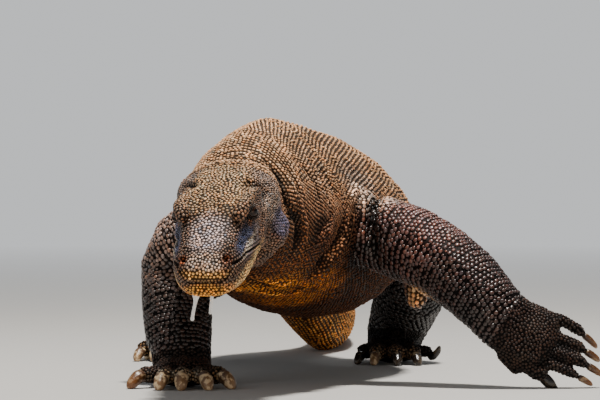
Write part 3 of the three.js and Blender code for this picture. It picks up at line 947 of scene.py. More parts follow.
def lid_places(ring, half):
    """A ring of places round each eye's opening."""
    found = []
    count = int(math.pi * (EYE_HALF_LONG + EYE_HALF_HIGH) * ring / (2 * half))
    for side in (1, -1):
        for turn in np.linspace(0, 2 * np.pi, count, endpoint=False):
            back = EYE_HALF_LONG * ring * math.cos(turn)
            up = EYE_RAISED + EYE_HALF_HIGH * ring * math.sin(turn)
            out = math.sqrt(max((EYE_BALL + 2) ** 2 - back**2 - up**2, 4.0))
            local = EYE_CENTRE + back * EYE_BACK + up * EYE_UP + out * EYE_LINE
            found.append(from_head(local * [side, 1, 1]))
    return np.array(found)


class Coat:
    """All the scales: where each stands, how it lies and how big it is."""

    def __init__(self):
        self.rows = []

    def add(self, place, normal, zone, size=None, lie=None, share=1.0):
        """Adds scales of the size that suits their places, unless a size is given."""
        if size is None:
            size = np.stack(scale_size(place, zone, normal), 1)
        else:
            size = np.tile(np.array(size, float), (len(place), 1))
        way, unwrapped = lie_and_unwrap(place, zone)
        way = way if lie is None else lie
        self.rows.append([place, normal, zone, size * share, way, unwrapped])

    def together(self):
        """The places, normals, nodes, sizes, lies and unwrapped places of all the scales."""
        return [np.concatenate([r[k] for r in self.rows]) for k in range(6)]

    def taken(self):
        """Where scales stand already, and the reach of each."""
        place, _, _, size, _, _ = self.together()
        return place, np.sqrt(size[:, 0] * size[:, 1])


BEADED_SLOPE, BEADED_END = 0.36, 460  # the steepest and the last place of the rings between
ROW_SHARE, PLACED_SHARE = 0.74, 0.86  # of their reach, how near scales of the rows may stand
TRIALS = 360000
HEAD_TRIALS, FOOT_TRIALS = 7.0, 3.0  # how many times as many fall there as on the rest
SMALL_SHARE, SMALL_SIZE = 0.55, 0.62  # of the scales that are tucked in between limb plates
# The lips and the lids have rows of their own. Each row's scales are given by half their width,
# half their length and their height.
LIP_ROWS = [(3.3, 4.3, (1.95, 1.6, 1.1)), (-3.2, 4.3, (1.95, 1.6, 1.1)), (7.0, 4.6, (2.1, 1.75, 1.0)),
            (-6.9, 4.5, (2.0, 1.75, 1.0))]
LID_ROWS = [(1.34, (0.82, 0.95, 0.7)), (1.68, (1.0, 1.1, 0.8)), (2.06, (1.25, 1.25, 0.8))]


def add_rings(coat):
    """Rings round the spine and round each limb."""
    sets = [laid(spine_places(False), "spine", SPINE_NODES, 2.0, 0.22)]
    place, normal, zone = laid(spine_places(True), "spine", SPINE_NODES, 2.0, 0.3)
    beaded = (np.abs(normal[:, 2]) < BEADED_SLOPE) & (place[:, 1] < BEADED_END)
    sets.append((place[beaded], normal[beaded], zone[beaded]))
    for line in LIMB_LINES:
        nodes = [n for n in LIMB_NODES if LIMB_OF[n] == line]
        sets.append(laid(limb_places(line), line, nodes, 1.5, 0.25))
    place, normal, zone = (np.concatenate([s[k] for s in sets]) for k in range(3))
    reach = reach_of(place, zone, normal) * ROW_SHARE
    keep = apart(place, reach, np.zeros((0, 3)), np.zeros(0))
    coat.add(place[keep], normal[keep], zone[keep])


def add_lips_and_lids(coat):
    """The rows along both lips, and the rings round both eyes."""
    for rise, pitch, size in LIP_ROWS:
        traced = lip_places(rise, pitch)
        local = in_head(traced)
        traced = traced[local[:, 1] < MOUTH_END - 6 + rise]
        place, normal, _ = surface.nearest(traced)
        clear = ~open_parts(place)
        way = unit(np.gradient(traced, axis=0))
        place, normal, way = place[clear], normal[clear], way[clear]
        coat.add(place, normal, owners(place), size, np.cross(normal, way))
    for ring, size in LID_ROWS:
        place, normal, _ = surface.nearest(lid_places(ring, size[0]))
        coat.add(place, normal, owners(place), size)


def bare_places(taken):
    """Random places that no scale covers yet, with their normals and their nodes."""
    triangle_zone = owners(surface.points[surface.triangles].mean(1))
    weight = np.where(among(triangle_zone, HEAD_NODES), HEAD_TRIALS, 1.0)
    weight[among(triangle_zone, FOOT_NODES)] = FOOT_TRIALS
    bare, normal = surface.scattered(TRIALS, weight)
    tree = point_tree(taken)
    far = np.array([tree.find(p)[2] for p in bare.tolist()]) > 2.2
    bare, normal = bare[far], normal[far]
    zone = owners(bare)
    clear = ~(among(zone, HEAD_NODES) & open_parts(bare))
    return bare[clear], normal[clear], zone[clear]


def add_fill(coat):
    """Scales at random where the rows leave the skin bare, as close as they fit."""
    place, reach = coat.taken()
    bare, normal, zone = bare_places(place)
    random_only = among(zone, HEAD_NODES + FOOT_NODES)
    tight = np.where(random_only, 0.76, 0.84)
    keep = apart(bare, reach_of(bare, zone, normal) * tight, place, reach * PLACED_SHARE)
    rest = keep & ~random_only
    coat.add(bare[rest], normal[rest], zone[rest])
    small = ~keep & among(zone, LIMB_NODES)
    tucked = [bare[small], normal[small], zone[small]]
    place, reach = coat.taken()
    small_reach = reach_of(tucked[0], tucked[2], tucked[1]) * SMALL_SHARE
    fits = apart(tucked[0], small_reach, place, reach * PLACED_SHARE)
    coat.add(*(v[fits] for v in tucked), share=SMALL_SIZE)
    finest = keep & random_only
    even, normal, _ = surface.nearest(eased(bare[finest], zone[finest]))
    clear = ~(among(owners(even), HEAD_NODES) & open_parts(even))
    coat.add(even[clear], normal[clear], owners(even)[clear])


coat = Coat()
add_rings(coat)
add_lips_and_lids(coat)
add_fill(coat)
place, normal, zone, size, lie, unwrapped = coat.together()


# ---- Markings, with painted light and shade ----


def tone(red, green, blue):
    """An 8-bit colour as linear light."""
    c = np.array([red, green, blue]) / 255
    return np.where(c <= 0.04045, c / 12.92, ((c + 0.055) / 1.055) ** 2.4)


def solid(colour):
    """An 8-bit colour for a material's socket."""
    return (*tone(*colour), 1)


# Colours of the body by how far its surface faces up: belly, lower flank, flank, back. They are partly the
# hide's own colour and partly painted light: the undersides of trunk and neck darker in painted shade, the
# tail's underside more orange in painted bounce light from the ground.
BODY_UP = [-0.75, -0.35, 0.15, 0.6]
TRUNK_TONES = [(74, 40, 16), (94, 55, 27), (128, 84, 58), (202, 154, 112)]
NECK_TONES = [(110, 62, 26), (118, 74, 42), (138, 98, 74), (206, 160, 120)]
TAIL_TONES = [(190, 122, 52), (204, 138, 64), (158, 110, 66), (150, 112, 76)]
# Each limb's and foot's tone. The near-black tones of the left thigh, shank and foot are painted shade
# under the belly.
LIMB_TONES = {
    "right_upper_arm": (136, 108, 94), "right_forearm": (40, 24, 18),
    "left_upper_arm": (90, 58, 52), "left_forearm": (46, 27, 23),
    "left_thigh": (52, 32, 22), "left_shank": (30, 18, 12),
    "right_thigh": (62, 41, 27), "right_shank": (52, 35, 22),
    "right_hand": (46, 28, 19), "left_hand": (44, 27, 18),
    "left_foot": (36, 23, 15), "right_foot": (76, 52, 30),
}
# Patches on the body: centre, reach, colour and how strongly it covers.
BODY_PATCHES = [
    ((86, 130, 262), (60, 90, 40), (196, 164, 140), 0.85),   # shoulder
    ((30, -58, 204), (40, 46, 40), (66, 40, 28), 0.85),      # the neck's swelling, darkened: painted shadow of the head
    ((20, 60, 124), (90, 110, 40), (170, 98, 30), 0.85),     # chest beads, orange: painted bounce light from the ground
    ((-40, -60, 138), (60, 70, 24), (200, 124, 44), 0.85),   # throat
    ((158, 112, 112), (30, 44, 26), (224, 164, 104), 0.95),  # the fold behind the elbow, pale tan: partly its own colour, partly painted sunlight
    ((-154, -6, 8), (80, 40, 24), (176, 152, 122), 0.9),     # toes on the floor
    ((-84, 20, 10), (36, 34, 26), (120, 92, 62), 0.8),
    ((124, 618, 10), (70, 34, 22), (120, 96, 72), 0.8),
    ((-195, 740, 10), (50, 40, 24), (130, 96, 60), 0.8),
]
HEAD_BASE = (112, 82, 62)
HEAD_PATCHES = [
    ((0, 150, 60), (60, 90, 26), (186, 146, 104), 1.0),     # crown
    ((0, 50, 42), (27, 46, 20), (222, 196, 190), 0.95),     # snout's top
    ((0, 4, 24), (30, 24, 16), (222, 190, 168), 0.9),       # snout's tip
    ((46, 66, 22), (18, 44, 17), (70, 76, 108), 0.97),      # side of the snout, blue-grey: partly its own slate colour, partly painted skylight
    ((54, 100, 12), (14, 24, 12), (128, 112, 112), 0.8),    # below the eye
    ((60, 140, 20), (18, 30, 24), (126, 100, 86), 0.8),     # cheek
    ((66, 168, 20), (22, 34, 30), (146, 126, 112), 0.85),   # behind the eye
    ((68, 178, -14), (24, 28, 22), (92, 84, 106), 0.9),     # behind the mouth, blue-grey: partly its own colour, partly painted skylight
    ((54, 190, 44), (24, 30, 22), (152, 126, 110), 0.85),
    ((0, 6, 9), (36, 20, 7), (255, 186, 100), 0.95),        # front of the upper lip
    ((48, 60, 15), (14, 50, 5), (222, 198, 168), 0.85),     # edge of the upper lip, pale: painted wet highlight
    ((0, 6, -14), (36, 40, 14), (248, 166, 62), 0.95),      # chin
    ((40, 70, -14), (26, 66, 16), (246, 202, 134), 0.9),    # side of the jaw
    ((0, 90, -46), (50, 90, 20), (140, 92, 46), 0.8),       # under the jaw
    ((27, 18, 22), (9, 9, 8), (130, 66, 28), 0.9),          # nostril's rim
    ((51, 97, 42), (13, 18, 15), (42, 27, 20), 0.95),       # lids, darkened: painted shade of the brow round the eye
    ((42, 84, 52), (7, 8, 6), (168, 108, 66), 0.75),
    ((47, 96, 30), (6, 9, 5), (156, 100, 60), 0.75),
]
HOLLOW_SHADE, FOLD_SHADE = 0.34, 0.16  # painted shade and light: how much darker the hide is for each millimetre of depth, and lighter for each of rise
FRECKLE, WARMTH = 0.27, 0.11  # how much one scale's colour differs from the next one's
# The hide's colour at each point, painted light and shade included.


def covered(base, points, centre, reach, colour, strength):
    """The base colours with a soft-edged patch over them."""
    inside = np.linalg.norm((points - np.array(centre)) / np.array(reach), axis=1)
    share = (strength * smoothstep(1.15, 0.55, inside))[:, None]
    return base * (1 - share) + tone(*colour) * share


def by_up(up, colours):
    """A colour for each surface slope, blended between those of the belly and the back, with painted light
    and shade in them.
    """
    table = np.array([tone(*c) for c in colours])
    return np.stack([np.interp(up, BODY_UP, table[:, k]) for k in range(3)], 1)


def spread(values, edges, turns):
    """Values at the skin's points, each evened out with its neighbours'."""
    count = np.bincount(edges.ravel(), minlength=len(values))[:, None] + 1e-9
    for _ in range(turns):
        total = np.stack([
            np.bincount(edges[:, 0], values[edges[:, 1], k], len(values))
            + np.bincount(edges[:, 1], values[edges[:, 0], k], len(values))
            for k in range(values.shape[1])
        ], 1)
        values = 0.5 * values + 0.5 * total / count
    return values


def markings():
    """The colour of each point of the skin, which its scales take too, painted light and shade included."""
    points, normals = surface.points, surface.normals
    edges = np.empty(len(skin.data.edges) * 2, np.int32)
    skin.data.edges.foreach_get("vertices", edges)
    edges = edges.reshape(-1, 2)
    point_zone = owners(points)
    wavy = points + 9.0 * np.stack([grain(points, 30.0, 3.0), grain(points, 30.0, 7.0),
                                    grain(points, 30.0, 11.0)], 1)
    up = normals[:, 2]
    neck = smoothstep(40, -60, wavy[:, 1])[:, None]
    tail = smoothstep(820, 1000, wavy[:, 1])[:, None]
    trunk = by_up(up, TRUNK_TONES) * (1 - neck) + by_up(up, NECK_TONES) * neck
    base = trunk * (1 - tail) + by_up(up, TAIL_TONES) * tail
    for name, colour in LIMB_TONES.items():
        here = among(point_zone, [name])
        # Each limb lighter on top and darker beneath: painted light and shade.
        base[here] = tone(*colour) * (0.8 + 0.45 * up[here])[:, None]
    base = spread(base, edges, 30)
    for patch in BODY_PATCHES:
        base = covered(base, wavy, *patch)
    head = among(point_zone, HEAD_NODES)
    local = in_head(points[head] * 0.75 + wavy[head] * 0.25)
    local[:, 0] = np.abs(local[:, 0])
    face = np.tile(tone(*HEAD_BASE), (head.sum(), 1))
    for patch in HEAD_PATCHES:
        face = covered(face, local, *patch)
    base[head] = face
    base = spread(base, edges, 3)
    blotch = 1 + 0.3 * grain(points, 34.0, 21.0) + 0.2 * grain(points, 12.0, 25.0)
    # Painted shade in the skin's hollows and folds, painted light on its bulges and ridges.
    hollow = ((spread(points, edges, 24) - points) * normals).sum(1)
    painted_relief_shade = np.clip(1 - HOLLOW_SHADE * hollow, 0.25, 1.4)
    relief = lift_of(points, surface.tree, NECK_FORMS + SHOULDER_FORMS, NECK_FORMS)
    painted_relief_shade *= np.exp(np.clip(relief, -9, 6) * FOLD_SHADE)
    return base * (blotch * painted_relief_shade)[:, None]


skin_tones = markings()
skin_places = point_tree(surface.points)


def tones(points):
    """The markings of the skin under each scale."""
    return skin_tones[[skin_places.find(p)[1] for p in points.tolist()]]


# ---- Scale shapes ----


def dome(sides, levels):
    """A closed scale: rings of corners from its foot up to its top, then the floor."""
    corners, faces = [], []
    angle = 2 * np.pi * (np.arange(sides) + 0.5) / sides
    for radius, height in levels:
        corners += [(radius * math.sin(a), radius * math.cos(a), height) for a in angle]
    corners.append((0, 0.12, 1.0))
    for level in range(len(levels) - 1):
        for k in range(sides):
            a, b = level * sides + k, level * sides + (k + 1) % sides
            faces.append((b, a, a + sides, b + sides))
    top = (len(levels) - 1) * sides
    for k in range(sides):
        faces.append((top + (k + 1) % sides, top + k, len(corners) - 1))
    faces.append(tuple(range(sides)))
    return np.array(corners), faces


TURN_STRAY, SIZE_STRAY, HEIGHT_STRAY = 0.12, 0.06, 0.08  # how much one scale differs from the next
PATCH = 0.0015  # half a scale's side on the map
BEAD = dome(7, [(1.0, -0.4), (0.74, 0.66)])
TAIL_BEAD = dome(6, [(1.0, -0.4), (0.76, 0.68)])
PEBBLE = dome(7, [(1.0, -0.35), (0.9, 0.35), (0.56, 0.84)])
PLATE = dome(6, [(1.04, -0.3), (0.96, 0.5), (0.66, 0.88)])


def scale_corners(pick, corners):
    """Where the corners of each picked scale are. Its turn and its size stray a little."""
    centre, up, along = place[pick], normal[pick], lie[pick]
    along = unit(along - up * (along * up).sum(1)[:, None])
    side = np.cross(along, up)
    turn = rng.normal(0, TURN_STRAY, len(centre))[:, None]
    turned = along * np.cos(turn) + side * np.sin(turn)
    side = side * np.cos(turn) - along * np.sin(turn)
    grown = rng.normal(1, SIZE_STRAY, (len(centre), 1))
    risen = 1 + rng.normal(0, HEIGHT_STRAY, (len(centre), 1)) * [0, 0, 1]
    wide, long, high = (size[pick] * (grown * risen)).T
    spans = np.stack([side * wide[:, None], turned * long[:, None], up * high[:, None]], 1)
    grid = centre[:, None, :] + np.einsum("kc,ncx->nkx", corners, spans)
    grid[:, :, 2] = np.maximum(grid[:, :, 2], 0.1)
    return grid


def repeated_mesh(name, grid, faces):
    """A mesh of many closed shapes with the same faces, and the point at each face's corners."""
    count, stride = grid.shape[:2]
    loops = np.concatenate([np.array(f) for f in faces])
    all_loops = (loops[None, :] + stride * np.arange(count)[:, None]).ravel()
    all_sides = np.tile([len(f) for f in faces], count)
    starts = np.concatenate([[0], np.cumsum(all_sides)[:-1]])
    mesh = bpy.data.meshes.new(name)
    mesh.vertices.add(count * stride)
    mesh.vertices.foreach_set("co", to_row(grid.reshape(-1, 3)).astype(np.float32).ravel())
    mesh.loops.add(len(all_loops))
    mesh.loops.foreach_set("vertex_index", all_loops.astype(np.int32))
    mesh.polygons.add(len(all_sides))
    mesh.polygons.foreach_set("loop_start", starts.astype(np.int32))
    mesh.polygons.foreach_set("loop_total", all_sides.astype(np.int32))
    round_off(mesh)
    mesh.update(calc_edges=True)
    return mesh, all_loops


def scales(name, chosen, shape, material):
    """One piece of the coat: the chosen scales, each with its patch of the map."""
    corners, faces = shape
    pick = np.flatnonzero(chosen)
    mesh, all_loops = repeated_mesh(name, scale_corners(pick, corners), faces)
    uv = unwrapped[pick][:, None, :] + PATCH * corners[None, :, :2]
    set_bake_map(mesh, uv.reshape(-1, 2)[all_loops])
    set_values(mesh, "tip", np.tile(corners[:, 2].clip(0, 1), len(pick)))
    freckle = rng.normal(0, FRECKLE, (len(pick), 1))
    warmth = rng.normal(0, WARMTH, (len(pick), 1)) * [1, 0, -1]
    set_markings(mesh, np.repeat(tones(place[pick]) * np.exp(freckle + warmth), len(corners), axis=0))
    mesh.materials.append(material)
    obj = bpy.data.objects.new(name, mesh)
    bpy.context.scene.collection.objects.link(obj)
    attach(obj, "root")


# ---- Materials ----


class Shader:
    """A new material's nodes, added in a line each."""

    def __init__(self, name):
        self.material = bpy.data.materials.new(name)
        self.material.use_nodes = True
        self.tree = self.material.node_tree
        self.surface = self.tree.nodes["Principled BSDF"]

    def feed(self, socket, value):
        """Links another node's output to a socket, or sets a value there."""
        if isinstance(value, bpy.types.NodeSocket):
            self.tree.links.new(value, socket)
        else:
            socket.default_value = value

    def node(self, kind, inputs=(), **settings):
        made = self.tree.nodes.new("ShaderNode" + kind)
        for key, value in settings.items():
            setattr(made, key, value)
        for key, value in dict(inputs).items():
            self.feed(made.inputs[key], value)
        return made

    def drive(self, socket, value):
        self.feed(self.surface.inputs[socket], value)

    def ramp(self, value, low, high, to_low, to_high):
        made = self.node("MapRange", {"Value": value, "From Min": low, "From Max": high,
                                      "To Min": to_low, "To Max": to_high})
        return made.outputs["Result"]

    def speckle(self, scale, detail=4.0):
        place = self.node("TexCoord").outputs["Object"]
        return self.node("TexNoise", {"Vector": place, "Scale": scale, "Detail": detail}).outputs["Fac"]

    def blend(self, share, first, second):
        """Two colours mixed by a share."""
        made = self.node("Mix", {0: share, 6: first, 7: second}, data_type="RGBA")
        return made.outputs[2]

    def times(self, first, second):
        return self.node("Math", {0: first, 1: second}, operation="MULTIPLY").outputs["Value"]

    def bump(self, height, strength, distance):
        made = self.node("Bump", {"Height": height, "Strength": strength, "Distance": distance})
        self.tree.links.new(made.outputs["Normal"], self.surface.inputs["Normal"])


def hide_material(name, rough, dust, gap, shine):
    """Horny scales over dark skin: their tips carry the markings, each scale darker towards its foot
    (partly dark skin, partly painted shade between the scales), and dust lies on some.
    """
    made = Shader(name)
    hide = made.node("Attribute", attribute_name="hide").outputs["Color"]
    tip = made.node("Attribute", attribute_name="tip").outputs["Fac"]
    fine, broad = made.speckle(900.0, 3.0), made.speckle(34.0, 5.0)
    # Darker towards each scale's foot: partly the dark skin's own colour, partly painted shade between the
    # scales.
    share = made.times(made.ramp(tip, 0.3, 0.95, gap, 1.0), made.ramp(fine, 0.3, 0.7, 0.8, 1.18))
    lit = made.node("VectorMath", {0: hide, "Scale": share}, operation="SCALE").outputs["Vector"]
    dusty = made.times(made.ramp(broad, 0.48, 0.72, 0.0, dust), tip)
    made.drive("Base Color", made.blend(dusty, lit, (0.42, 0.33, 0.24, 1)))
    made.drive("Roughness", made.ramp(fine, 0.3, 0.7, rough, rough + 0.2))
    made.drive("Specular IOR Level", shine)
    made.bump(fine, 0.35, 0.0006)
    return made.material


# Each hide's roughness, its dust, how light its gaps are beside its tips (their darkness partly painted
# shade), and its shine.
HIDES = {
    "head_hide": (0.34, 0.05, 0.04, 0.4), "face_hide": (0.36, 0.06, 0.16, 0.35),
    "body_hide": (0.5, 0.08, 0.03, 0.12), "limb_hide": (0.22, 0.05, 0.12, 0.55),
    "foot_hide": (0.34, 0.06, 0.1, 0.22),
}
hides = {name: hide_material(name, *finish) for name, finish in HIDES.items()}


def mark_skin(skin):
    """The skin takes the same markings as its scales, and no tips."""
    set_markings(skin.data, skin_tones)
    _, unwrapped = lie_and_unwrap(surface.points, owners(surface.points))
    corners = np.empty(len(skin.data.loops), np.int32)
    skin.data.loops.foreach_get("vertex_index", corners)
    set_bake_map(skin.data, unwrapped[corners])


def skin_material():
    """Dark, dull skin, seen only between the scales; its near-black tone is partly painted shade between
    them.
    """
    made = Shader("skin")
    hide = made.node("Attribute", attribute_name="hide").outputs["Color"]
    fine, broad = made.speckle(700.0, 3.0), made.speckle(60.0, 5.0)
    share = made.times(made.ramp(fine, 0.3, 0.7, 0.03, 0.08), made.ramp(broad, 0.3, 0.7, 0.8, 1.2))
    lit = made.node("VectorMath", {0: hide, "Scale": share}, operation="SCALE").outputs["Vector"]
    made.drive("Base Color", lit)
    made.drive("Roughness", made.ramp(fine, 0.3, 0.7, 0.45, 0.65))
    made.drive("Specular IOR Level", 0.08)
    made.bump(fine, 0.4, 0.0008)
    return made.material


mark_skin(skin)
skin.data.materials.append(skin_material())
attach(skin, "root")
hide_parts(*FLESH)

# The spine's pieces of coat: where each starts and ends, tailwards, and the shape of its scales.
SPINE_PIECES = [
    ("neck", -999, 35, BEAD), ("back_front", 35, 320, BEAD), ("back_middle", 320, 600, BEAD),
    ("back_rear", 600, TAIL_START, BEAD), ("tail_root", TAIL_START, 1150, TAIL_BEAD),
    ("tail_middle", 1150, 1600, TAIL_BEAD), ("tail_end", 1600, 9999, TAIL_BEAD),
]
CROWN_HEIGHT = 26  # of the crown's lower edge, above the mouth line
spine_here, head_here = among(zone, SPINE_NODES), among(zone, HEAD_NODES)
y = place[:, 1]
for name, low, high, shape in SPINE_PIECES:
    here = spine_here & (y > low) & (y <= high)
    scales("scales_" + name, here, shape, hides["body_hide"])
for name in LIMB_LINES:
    of_limb = among(zone, [n for n in LIMB_NODES if LIMB_OF[n] == name])
    scales("scales_" + name, of_limb, PLATE, hides["limb_hide"])
for name in FOOT_NODES:
    scales("scales_" + name, among(zone, [name]), PEBBLE, hides["foot_hide"])
high_up = in_head(place)[:, 2] > CROWN_HEIGHT
scales("scales_crown", head_here & high_up, PEBBLE, hides["head_hide"])
scales("scales_face", head_here & ~high_up, PEBBLE, hides["face_hide"])


# ---- Claws, eyes and saliva ----

CLAW_VOXEL, CLAW_ROUNDING = 0.9, 90
CLAW_SWELL = 0.0002  # in metres


def rounded_claw(node):
    """A rounder copy of a claw's node, as large as the node."""
    claw = swollen_copy(node, CLAW_SWELL)
    remeshed(claw, "horn_" + node, CLAW_VOXEL)
    apply_modifier(claw, "SMOOTH", factor=0.5, iterations=CLAW_ROUNDING)
    round_off(claw.data)
    points = coordinates(claw.data)
    low, high = (to_drawing(corner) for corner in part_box(node))
    return claw, low + (points - points.min(0)) / np.ptp(points, axis=0) * (high - low)


def claw_material(name, root, middle, tip, rough, dust):
    """Horn with growth streaks, from its root colour to its tip colour."""
    made = Shader(name)
    length = made.node("Attribute", attribute_name="length").outputs["Fac"]
    place = made.node("TexCoord").outputs["Object"]
    streak = made.node("TexNoise", {"Vector": place, "Scale": 700.0, "Detail": 5.0}).outputs["Fac"]
    patchy = made.speckle(130.0, 6.0)
    first = made.blend(made.ramp(length, 0.1, 0.5, 0.0, 1.0), solid(root), solid(middle))
    horn = made.blend(made.ramp(length, 0.5, 0.95, 0.0, 1.0), first, solid(tip))
    streaky = made.blend(made.ramp(streak, 0.42, 0.62, 0.0, 0.3), horn, solid(tip))
    dusted = made.blend(made.ramp(patchy, 0.5, 0.58, 0.0, dust), streaky, solid((206, 180, 142)))
    made.drive("Base Color", dusted)
    made.drive("Roughness", made.ramp(streak, 0.35, 0.65, rough, rough + 0.15))
    made.bump(streak, 0.4, 0.0006)
    return made.material


DARK_CLAWS = ["left_hand_claw_1"] + ["left_foot_claw_%d" % n for n in (1, 3, 4, 5)]
AMBER_CLAWS = ["right_hand_claw_5"] + ["left_hand_claw_%d" % n for n in (2, 3, 4, 5)]
BROADER, TALLER = 0.26, 0.2  # how much the planted hand's claws, blunted by wear, outgrow their nodes


def make_claws():
    """All twenty claws. The planted hand's are short and broad from wear, and dusty."""
    dusty = claw_material("dusty_claw", (46, 30, 24), (72, 50, 36), (134, 102, 70), 0.3, 0.9)
    dark = claw_material("dark_claw", (26, 18, 14), (14, 10, 9), (34, 26, 20), 0.14, 0.08)
    amber = claw_material("amber_claw", (34, 22, 14), (74, 44, 20), (112, 68, 28), 0.24, 0.25)
    for node in sorted(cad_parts):
        if "_claw_" not in node:
            continue
        claw, points = rounded_claw(node)
        foot = next(n for n in FOOT_NODES if node.startswith(n))
        gap = np.linalg.norm(points - np.array(FEET[foot][0]), axis=1)
        share = (gap - gap.min()) / np.ptp(gap)
        if foot == "right_hand":
            points[:, :2] += BROADER * (points[:, :2] - points[:, :2].mean(0))
            points[:, 2] += TALLER * (points[:, 2] - points[:, 2].min())
        set_coordinates(claw.data, points)
        set_values(claw.data, "length", share)
        kind = dusty
        if node in DARK_CLAWS:
            kind = dark
        elif node in AMBER_CLAWS:
            kind = amber
        claw.data.materials.append(kind)
        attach(claw, "root")
        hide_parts(node)


def eye_material():
    """A dark iris round a darker pupil, and a wet surface."""
    made = Shader("eye")
    off = made.node("Attribute", attribute_name="off_gaze").outputs["Fac"]
    fine = made.speckle(1500.0, 4.0)
    iris = made.blend(made.ramp(fine, 0.35, 0.65, 0.0, 1.0), solid((58, 32, 16)), solid((22, 12, 8)))
    inner = made.blend(made.ramp(off, 0.34, 0.42, 0.0, 1.0), solid((5, 4, 4)), iris)
    rim = made.blend(made.ramp(off, 0.66, 0.76, 0.0, 1.0), inner, solid((14, 9, 8)))
    white = made.blend(made.ramp(off, 0.84, 0.95, 0.0, 1.0), rim, solid((40, 24, 16)))
    made.drive("Base Color", white)
    made.drive("Roughness", made.ramp(fine, 0.3, 0.7, 0.03, 0.07))
    made.drive("Specular IOR Level", 0.22)
    made.drive("Coat Weight", 0.12)
    made.drive("Coat Roughness", 0.03)
    return made.material


def new_ball(name, segments, rings):
    """A ball of radius 1, and its points."""
    bpy.ops.object.select_all(action="DESELECT")
    bpy.ops.mesh.primitive_uv_sphere_add(segments=segments, ring_count=rings, radius=1.0)
    ball = bpy.context.active_object
    ball.name = ball.data.name = name
    return ball, vectors(ball.data, "co").astype(float)


def make_eyes():
    """Balls with a slight swell of the cornea where each eye looks."""
    wet = eye_material()
    for side, node in ((1, "left_eye"), (-1, "right_eye")):
        eye, way = new_ball("eyeball_" + node, 48, 32)
        way = unit(way)
        gaze = HEAD_TURN @ (EYE_LINE * [side, 1, 1])
        off = np.arccos(np.clip(way @ gaze, -1, 1))
        swell = 0.55 * hump(off, 0, 0.55)
        centre = from_head(EYE_CENTRE * [side, 1, 1])
        set_coordinates(eye.data, centre + way * (EYE_BALL + swell)[:, None])
        set_values(eye.data, "off_gaze", off)
        round_off(eye.data)
        eye.data.materials.append(wet)
        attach(eye, "root")
        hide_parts(node)


def saliva_material():
    """Clouded, wet and a little see-through."""
    made = Shader("saliva")
    broad = made.speckle(240.0, 3.0)
    made.drive("Base Color", made.blend(broad, (0.86, 0.88, 0.9, 1), (0.97, 0.96, 0.93, 1)))
    made.drive("Roughness", made.ramp(broad, 0.3, 0.7, 0.05, 0.14))
    made.drive("Transmission Weight", 0.25)
    made.drive("IOR", 1.34)
    made.drive("Subsurface Weight", 0.3)
    made.drive("Subsurface Radius", (0.004, 0.004, 0.004))
    return made.material


def make_saliva():
    """Each strand hangs from the lip, wide where it gathers and rounded at its end."""
    clear = saliva_material()
    for node, sway, gather, thread in (("saliva_1", -0.75, 0.5, 0.16), ("saliva_2", -0.45, 0.36, 0.24)):
        low, high = (to_drawing(corner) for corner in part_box(node))
        wide, _, tall = high - low
        strand, ball = new_ball("wet_" + node, 20, 44)
        down = (1 - ball[:, 2]) / 2
        round_way = ball[:, :2] / np.maximum(np.linalg.norm(ball[:, :2], axis=1), 1e-6)[:, None]
        ends = np.sqrt(np.clip(1 - ((down - 0.5) / 0.5) ** 16, 0, 1))
        girth = ends * wide * (thread + (gather - thread) * np.exp(-((down / 0.2) ** 1.6))
                               + 0.04 * hump(down, 0.93, 0.06))
        middle = (low + high) / 2
        x = middle[0] + wide * (0.5 - gather) * 0.6 + sway * wide * 0.5 * smoothstep(0.05, 1.0, down)
        places = np.stack([x + round_way[:, 0] * girth,
                           middle[1] + round_way[:, 1] * girth * 0.6,
                           high[2] + 3 - (tall + 3) * down], 1)
        set_coordinates(strand.data, places)
        round_off(strand.data)
        strand.data.materials.append(clear)
        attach(strand, "root")
        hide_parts(node)


make_claws()
make_eyes()
make_saliva()

# ---- Stage, light and camera; lights are placed in metres ----


def area_light(name, place, target, size, power, colour=(1, 1, 1)):
    data = bpy.data.lights.new(name, "AREA")
    data.shape = "DISK"
    data.size = size
    data.energy = power
    data.color = colour
    light = bpy.data.objects.new(name, data)
    light.location = place
    light.rotation_euler = (Vector(target) - Vector(place)).to_track_quat("-Z", "Y").to_euler()
    bpy.context.scene.collection.objects.link(light)


PALE = (0.86, 0.88, 0.9)


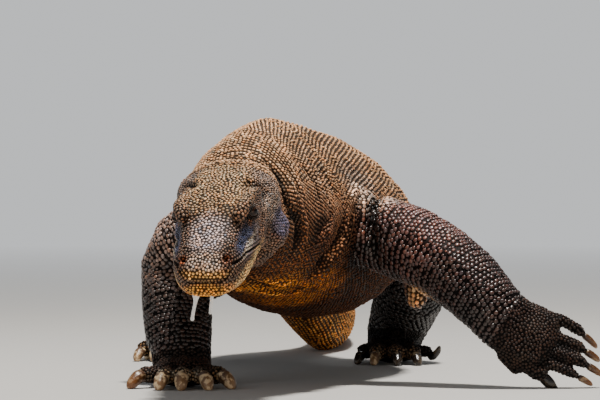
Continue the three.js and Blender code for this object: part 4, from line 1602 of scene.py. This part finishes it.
def studio_world():
    """Soft light from all round, paler in a band at eye level."""
    world = bpy.data.worlds.new("studio")
    world.use_nodes = True
    nodes, links = world.node_tree.nodes, world.node_tree.links
    back = nodes["Background"]
    back.inputs["Color"].default_value = (*PALE, 1)
    split = nodes.new("ShaderNodeSeparateXYZ")
    links.new(nodes.new("ShaderNodeTexCoord").outputs["Generated"], split.inputs[0])
    level = nodes.new("ShaderNodeMath")
    level.operation = "ABSOLUTE"
    links.new(split.outputs["Z"], level.inputs[0])
    band = nodes.new("ShaderNodeMapRange")
    for key, value in {"From Min": 0.05, "From Max": 0.3, "To Min": 0.8, "To Max": 0.22}.items():
        band.inputs[key].default_value = value
    links.new(level.outputs["Value"], band.inputs["Value"])
    links.new(band.outputs["Result"], back.inputs["Strength"])
    bpy.context.scene.world = world


def floor_material():
    """Pale ground that clears away with distance, so that no edge of it shows."""
    made = Shader("pale_floor")
    made.drive("Base Color", (0.5, 0.49, 0.47, 1))
    made.drive("Roughness", 0.85)
    place = made.node("TexCoord").outputs["Object"]
    away = made.node("VectorMath", {0: place}, operation="LENGTH").outputs["Value"]
    clear = made.node("BsdfTransparent")
    share = made.ramp(away, 1.3, 5.0, 0.0, 1.0)
    both = made.node("MixShader", {0: share, 1: made.surface.outputs["BSDF"], 2: clear.outputs["BSDF"]})
    out = made.tree.nodes["Material Output"]
    made.tree.links.new(both.outputs["Shader"], out.inputs["Surface"])
    return made.material


def studio():
    bpy.ops.mesh.primitive_plane_add(size=50, location=(0, 0, 0))
    floor = bpy.context.active_object
    floor.name = "floor"
    floor.data.materials.append(floor_material())
    studio_world()
    area_light("key", (0.3, -1.2, 3.9), (0, -0.4, 0.2), 0.5, 290, (1.0, 0.96, 0.9))
    area_light("fill", (-2.6, -3.4, 1.8), (0, -0.6, 0.2), 2.2, 12, (0.85, 0.92, 1.0))
    area_light("rim", (0.6, 2.6, 2.8), (0, 0.1, 0.3), 1.2, 14)
    area_light("bounce", (0.1, -3.2, 0.2), (0, -0.5, 0.15), 1.6, 9, (1.0, 0.74, 0.46))


CAMERA_PLACE = (0, -8000, 441.6)
CAMERA_DOWN = 1.395  # how far below level it looks, in degrees
LENS = 369.6


def camera():
    """A long lens, level with the animal's back and far in front of it."""
    data = bpy.data.cameras.new("camera")
    data.sensor_width = 36
    data.lens = LENS
    data.clip_end = 60
    cam = bpy.data.objects.new("camera", data)
    cam.location = to_row([CAMERA_PLACE])[0]
    cam.rotation_euler = (math.radians(90 - CAMERA_DOWN), 0, 0)
    bpy.context.scene.collection.objects.link(cam)
    bpy.context.scene.camera = cam


studio()
camera()
